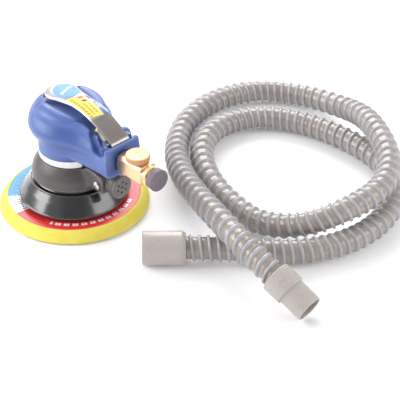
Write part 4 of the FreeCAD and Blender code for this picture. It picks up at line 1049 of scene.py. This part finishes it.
def make_stickers():
    """The yellow notice and the blue stripe on the lever, with plain marks in place of words."""
    def notice(along, across):
        if 1.6 < along < 5.4 and 7.6 < across < 13.0:
            return 2
        if math.hypot((along - 9.6) / 1.7, (across - 10.0) / 2.6) < 1:
            return 3
        for low, start, end, step in ((1.0, 1.4, 30.0, 3.1), (5.2, 12.0, 28.0, 2.7), (9.4, 14.5, 27.0, 3.4)):
            if low < across < low + 2.2 and start < along < end and along % step < step - 0.9:
                return 1
        return 0

    inks = ("label_yellow", "print_olive", "print_red", "print_black")
    label = film("lever_notice", (9.8, 43.8), (16.2, 46.4), -10.2, 4.4, inks, notice)
    settle(label, "lever", "label_yellow", "lever_label")

    def band(along, across):
        if 1.2 < across < 2.6 and (5 < along < 11 or 13 < along < 20) and (along % 2.2) < 1.5:
            return 1
        return 0

    stripe = film("lever_band", (16.8, 46.6), (19.5, 47.6), 5.0, 9.4, ("stripe_blue", "film_white"), band)
    settle(stripe, "lever", "stripe_blue", "lever_stripe")


# ---------------------------------------------------------------- hose

# The corners of the loose hose's route, as in part.py but in metres: from the large cuff, round two loops,
# to the small cuff.
HOSE_ROUTE = [
    (0.1379, 0.0018, 0.0164), (0.166, 0.031, 0.0164), (0.202, 0.064, 0.013), (0.236, 0.102, 0.013),
    (0.251, 0.152, 0.013), (0.242, 0.206, 0.013), (0.208, 0.25, 0.013), (0.16, 0.268, 0.013),
    (0.106, 0.267, 0.013), (0.06, 0.256, 0.013), (0.025, 0.23, 0.013), (0.012, 0.186, 0.013),
    (0.031, 0.145, 0.013), (0.072, 0.114, 0.013), (0.12, 0.097, 0.013), (0.168, 0.092, 0.013),
    (0.21, 0.109, 0.024), (0.236, 0.146, 0.04), (0.238, 0.194, 0.043), (0.212, 0.234, 0.043),
    (0.176, 0.262, 0.043), (0.132, 0.29, 0.035), (0.086, 0.307, 0.019), (0.035, 0.304, 0.013),
    (-0.01, 0.276, 0.013), (-0.029, 0.224, 0.013), (-0.018, 0.168, 0.013), (0.018, 0.121, 0.015),
    (0.064, 0.087, 0.023), (0.114, 0.062, 0.033), (0.168, 0.04, 0.043), (0.216, 0.027, 0.042),
    (0.259, 0.03, 0.0245),
]


def hose_line():
    """Points along the smooth line of the route, in millimetres."""
    curve = bpy.data.curves.new("hose_route", "CURVE")
    curve.dimensions = "3D"
    spline = curve.splines.new("NURBS")
    spline.points.add(len(HOSE_ROUTE) - 1)
    for point, place in zip(spline.points, HOSE_ROUTE):
        point.co = (*place, 1.0)
    spline.order_u = 3
    spline.use_endpoint_u = True
    spline.resolution_u = 24
    holder = add("hose_route", curve)
    line = bpy.data.meshes.new_from_object(holder.evaluated_get(bpy.context.evaluated_depsgraph_get()))
    points = np.array([vert.co for vert in line.vertices]) / MM
    bpy.data.objects.remove(holder)
    keep = np.append(True, np.linalg.norm(np.diff(points, axis=0), axis=1) > 1e-4)
    return points[keep]


class Track:
    """A line with its length, and frames along it that don't twist."""

    def __init__(self, points):
        self.points = points
        steps = np.linalg.norm(np.diff(points, axis=0), axis=1)
        self.run = np.append(0, np.cumsum(steps))
        self.length = self.run[-1]
        ways = np.gradient(points, axis=0)
        self.ways = ways / np.linalg.norm(ways, axis=1)[:, None]
        across = np.cross(self.ways[0], (0, 0, 1))
        normals = []
        for way in self.ways:
            across = across - way * (across @ way)
            across = across / np.linalg.norm(across)
            normals.append(across)
        self.normals = np.array(normals)

    def at(self, run):
        """The line's places and its two cross directions at these distances along it."""
        def mixed(values):
            return np.stack([np.interp(run, self.run, values[:, k]) for k in range(3)], -1)
        way, normal = mixed(self.ways), mixed(self.normals)
        way = way / np.linalg.norm(way, axis=-1)[..., None]
        normal = normal - way * (normal * way).sum(-1)[..., None]
        normal = normal / np.linalg.norm(normal, axis=-1)[..., None]
        return mixed(self.points), normal, np.cross(way, normal)


# The hose in millimetres: its radius between the ribs, over them and inside, and the ribs' spacing.
WALL, CREST, BORE = 10.5, 12.6, 9.6
CLOSEST_RIBS, WIDEST_RIBS = 8.5, 13.0
END_FADE = 3.0  # how far from an end the ribs start to sink
HOSE_SIDES, LINING_RINGS = 40, 200
# One turn's outline: share of the spacing, share of the rib's height, and whether it is the rib.
TURN_OUTLINE = [
    (0.00, 0.10, 0), (0.14, 0.12, 0), (0.24, 0.06, 0), (0.29, -0.06, 0), (0.32, 0.20, 1), (0.35, 0.60, 1),
    (0.41, 0.90, 1), (0.50, 1.0, 1), (0.59, 0.90, 1), (0.65, 0.60, 1), (0.68, 0.20, 1), (0.71, -0.06, 0),
    (0.76, 0.0, 0), (0.88, 0.06, 0),
]


def turns_before(track):
    """How many of the rib's turns lie before each point of the line.

    They are closer on the runs that cross the view, and wider apart on those that go away.
    """
    away = np.abs(track.ways @ np.array(TO_CAMERA))
    spacing = np.clip(CLOSEST_RIBS / np.sqrt(1 - away ** 2), CLOSEST_RIBS, WIDEST_RIBS)
    return np.append(0, np.cumsum(np.diff(track.run) / (0.5 * (spacing[1:] + spacing[:-1]))))


def ring_points(track, runs, angle, radius):
    """Points round the line at these distances along it."""
    place, normal, side = track.at(runs)
    out = normal * np.cos(angle)[None, :, None] + side * np.sin(angle)[None, :, None]
    return (place + out * radius).reshape(-1, 3)


def wound_wall(track, angle):
    """The outside, as one strip that winds along the line: points, faces, and where the rib is."""
    turns = turns_before(track)
    runs, lifts, ribs = [], [], []
    for k in range(math.ceil(turns[-1]) + 2):
        for share, lift, rib in TURN_OUTLINE:
            runs.append(np.interp(k - 1 + share + angle / (2 * math.pi), turns, track.run))
            lifts.append(lift)
            ribs.append(rib)
    runs = np.array(runs)
    fade = np.clip(np.minimum(runs, track.length - runs) / END_FADE, 0, 1)
    radius = WALL + (CREST - WALL) * np.array(lifts)[:, None] * fade
    sides, rows, per_turn = len(angle), len(runs), len(TURN_OUTLINE)
    faces = []
    for i in range(rows - 1):
        for j in range(sides - 1):
            a = i * sides + j
            faces.append((a, a + 1, a + 1 + sides, a + sides))
        if i + per_turn + 1 < rows:
            a, b = i * sides + sides - 1, (i + per_turn) * sides
            faces.append((a, b, b + sides, a + sides))
    # the ends are flat rings, so what lies past them has no area
    used = [face for face in faces if np.ptp(runs.reshape(-1)[list(face)]) > 1e-9]
    return ring_points(track, runs, angle, radius[..., None]), used, np.repeat(np.array(ribs, float), sides)


def hose_mesh(track):
    """The ribbed wall with its smooth lining, closed by a rim at each end."""
    sides = HOSE_SIDES
    angle = 2 * math.pi * np.arange(sides) / sides
    outer, faces, ribs = wound_wall(track, angle)
    lining_runs = np.linspace(0, track.length, LINING_RINGS)[:, None] + np.zeros(sides)
    inner = ring_points(track, lining_runs, angle, BORE)
    base = len(outer)
    faces += [tuple(base + k for k in face) for face in ring_faces(LINING_RINGS, sides, closed=False)]
    for start, lined in ((0, base), (base - sides, base + (LINING_RINGS - 1) * sides)):
        for j in range(sides):
            after = (j + 1) % sides
            faces.append((start + j, start + after, lined + after, lined + j))
    mesh = bpy.data.meshes.new("dust_hose")
    mesh.from_pydata((np.concatenate([outer, inner]) * MM).tolist(), [], faces)
    attribute = mesh.attributes.new("rib", "FLOAT", "POINT")
    attribute.data.foreach_set("value", np.append(ribs, np.zeros(len(inner))).astype(np.float32))
    work = bmesh.new()
    work.from_mesh(mesh)
    bmesh.ops.remove_doubles(work, verts=work.verts, dist=1e-6)
    bmesh.ops.delete(work, geom=[vert for vert in work.verts if not vert.link_faces], context="VERTS")
    bmesh.ops.recalc_face_normals(work, faces=work.faces)
    work.to_mesh(mesh)
    work.free()
    mesh.shade_smooth()
    mesh.materials.append(MATERIALS["hose_grey"])
    return mesh


def make_hose():
    """The loose hose along the smooth line of its route, with its two cuffs."""
    track = Track(hose_line())
    hose = add("dust_hose", hose_mesh(track))
    settle(hose, "hose", "hose_grey", "hose_tube")
    cuffs = make_cuffs()
    path = track.points[::4] * MM
    if np.linalg.norm(path[-1] - track.points[-1] * MM) > 1e-6:
        path = np.vstack([path, track.points[-1] * MM])


def make_cuffs():
    """The smooth cuffs on the hose's two ends: a wide plain one, and a narrow one with a collar."""
    start, after = Vector(HOSE_ROUTE[0]) / MM, Vector(HOSE_ROUTE[1]) / MM
    heading = (after - start).normalized()
    length, socket = 41.5, 15.0
    mouth = start - heading * (length - socket)
    big = turned("hose_cuff_wide", [
        (14.0, 0.0), (15.7, 0.0), (16.4, 0.7), (16.4, length - 4.0), (16.0, length - 3.2),
        (14.2, length - 0.3), (13.6, length), (13.0, length - 0.4), (12.95, length - socket),
        (10.8, length - socket),
        (10.8, length - socket - 4), (14.0, length - socket - 7),
    ], "cuff_grey", mouth, heading, ease=0.5)
    mark_edges(big, full_turn=60.0)
    settle(big, "hose", "cuff_grey", "hose_cuff_large")

    end, before = Vector(HOSE_ROUTE[-1]) / MM, Vector(HOSE_ROUTE[-2]) / MM
    along = (end - before).normalized()
    root = 13.0
    base = end - along * root
    small = turned("hose_cuff_narrow", [
        (13.05, 0.4), (14.6, 0.0), (15.5, 0.7), (15.5, 19.0), (15.0, 19.9), (14.0, 20.0), (13.5, 20.6),
        (13.5, 43.4), (13.1, 44.0), (11.9, 44.0), (11.6, 43.4), (11.6, root + 2), (10.8, root + 2),
        (10.8, root), (13.05, root),
    ], "cuff_grey", base, along, ease=0.5)
    mark_edges(small, full_turn=60.0)
    settle(small, "hose", "cuff_grey", "hose_cuff_small")
    return [big, small]


# ---------------------------------------------------------------- CAD nodes that stay


def finish_nodes():
    """Give every CAD node that is still shown its slot's material."""
    for part in frame["record"]["subparts"]:
        slots = frame["nodes"][part["node"]].data.materials
        finish = "muffler_face" if part["node"] == "muffler_cap" else part["material_slot"]
        material = MATERIALS.get(finish, MATERIALS["zinc_steel"])
        if len(slots):
            for i in range(len(slots)):
                slots[i] = material
        else:
            slots.append(material)


# ---------------------------------------------------------------- stage


def area_light(name, place, target, width, depth, power):
    """A rectangular soft light that faces its target."""
    light = bpy.data.lights.new(name, "AREA")
    light.shape = "RECTANGLE"
    light.size, light.size_y, light.energy = width, depth, power
    holder = add(name, light)
    holder.location = place
    holder.rotation_euler = (Vector(target) - Vector(place)).to_track_quat("-Z", "Y").to_euler()


def make_world():
    """White surroundings, but for a darker patch on the side that the picture is taken from."""
    world = bpy.data.worlds.new("studio")
    world.use_nodes = True
    tree = world.node_tree
    way = tree.nodes.new("ShaderNodeTexCoord").outputs["Generated"]
    towards = tree.nodes.new("ShaderNodeVectorMath")
    towards.operation = "DOT_PRODUCT"
    towards.inputs[1].default_value = TO_CAMERA
    tree.links.new(way, towards.inputs[0])
    fall = tree.nodes.new("ShaderNodeMapRange")
    fall.interpolation_type = "SMOOTHSTEP"
    for socket, value in (("From Min", 0.8), ("From Max", 0.97), ("To Min", 0.65), ("To Max", 0.35)):
        fall.inputs[socket].default_value = value
    tree.links.new(towards.outputs["Value"], fall.inputs["Value"])
    tree.links.new(fall.outputs["Result"], tree.nodes["Background"].inputs["Strength"])
    tree.nodes["Background"].inputs["Color"].default_value = (1.0, 1.0, 1.0, 1.0)
    bpy.context.scene.world = world


def make_stage():
    """A pale floor, soft light all round, and the camera."""
    size = 8.0
    mesh = bpy.data.meshes.new("floor")
    corners = [(-size, -size, 0), (size, -size, 0), (size, size, 0), (-size, size, 0)]
    mesh.from_pydata(corners, [], [(0, 1, 2, 3)])
    finish = Finish("floor_paper", 0.9, Emission_Color=(1.0, 1.0, 1.0, 1.0), Emission_Strength=0.1)
    finish.paint(finish.mix(finish.noise(300.0), rgb(244, 244, 245), rgb(248, 248, 249)))
    mesh.materials.append(finish.material)
    floor = add("floor", mesh)
    floor.location.z = -0.0006

    make_world()
    middle = (0.05, 0.05, 0.07)
    area_light("back_softbox", (-0.9, 0.85, 0.95), middle, 1.2, 1.0, 20.0)
    area_light("left_softbox", (-1.0, -1.25, 1.05), middle, 1.5, 1.2, 30.0)
    area_light("right_softbox", (1.5, 0.7, 0.8), middle, 1.4, 1.0, 12.0)

    camera = add("camera", bpy.data.cameras.new("camera"))
    camera.location = (0.9005, -0.7035, 0.8088)
    camera.rotation_euler = (math.radians(54.63), 0, math.radians(45.69))
    camera.data.sensor_width = 36.0
    camera.data.lens = 124.56
    camera.data.clip_end = 50.0
    bpy.context.scene.camera = camera
    bpy.context.scene.view_settings.view_transform = "Standard"


make_stage()
make_hose()
make_grip()
make_cup()
make_skirt()
make_pad()
make_regulator()
make_inlet()
make_knob()
make_cap()
make_collar()
make_muffler()
make_screws()
make_lever()
make_pin()
make_badge()
make_stickers()
finish_nodes()
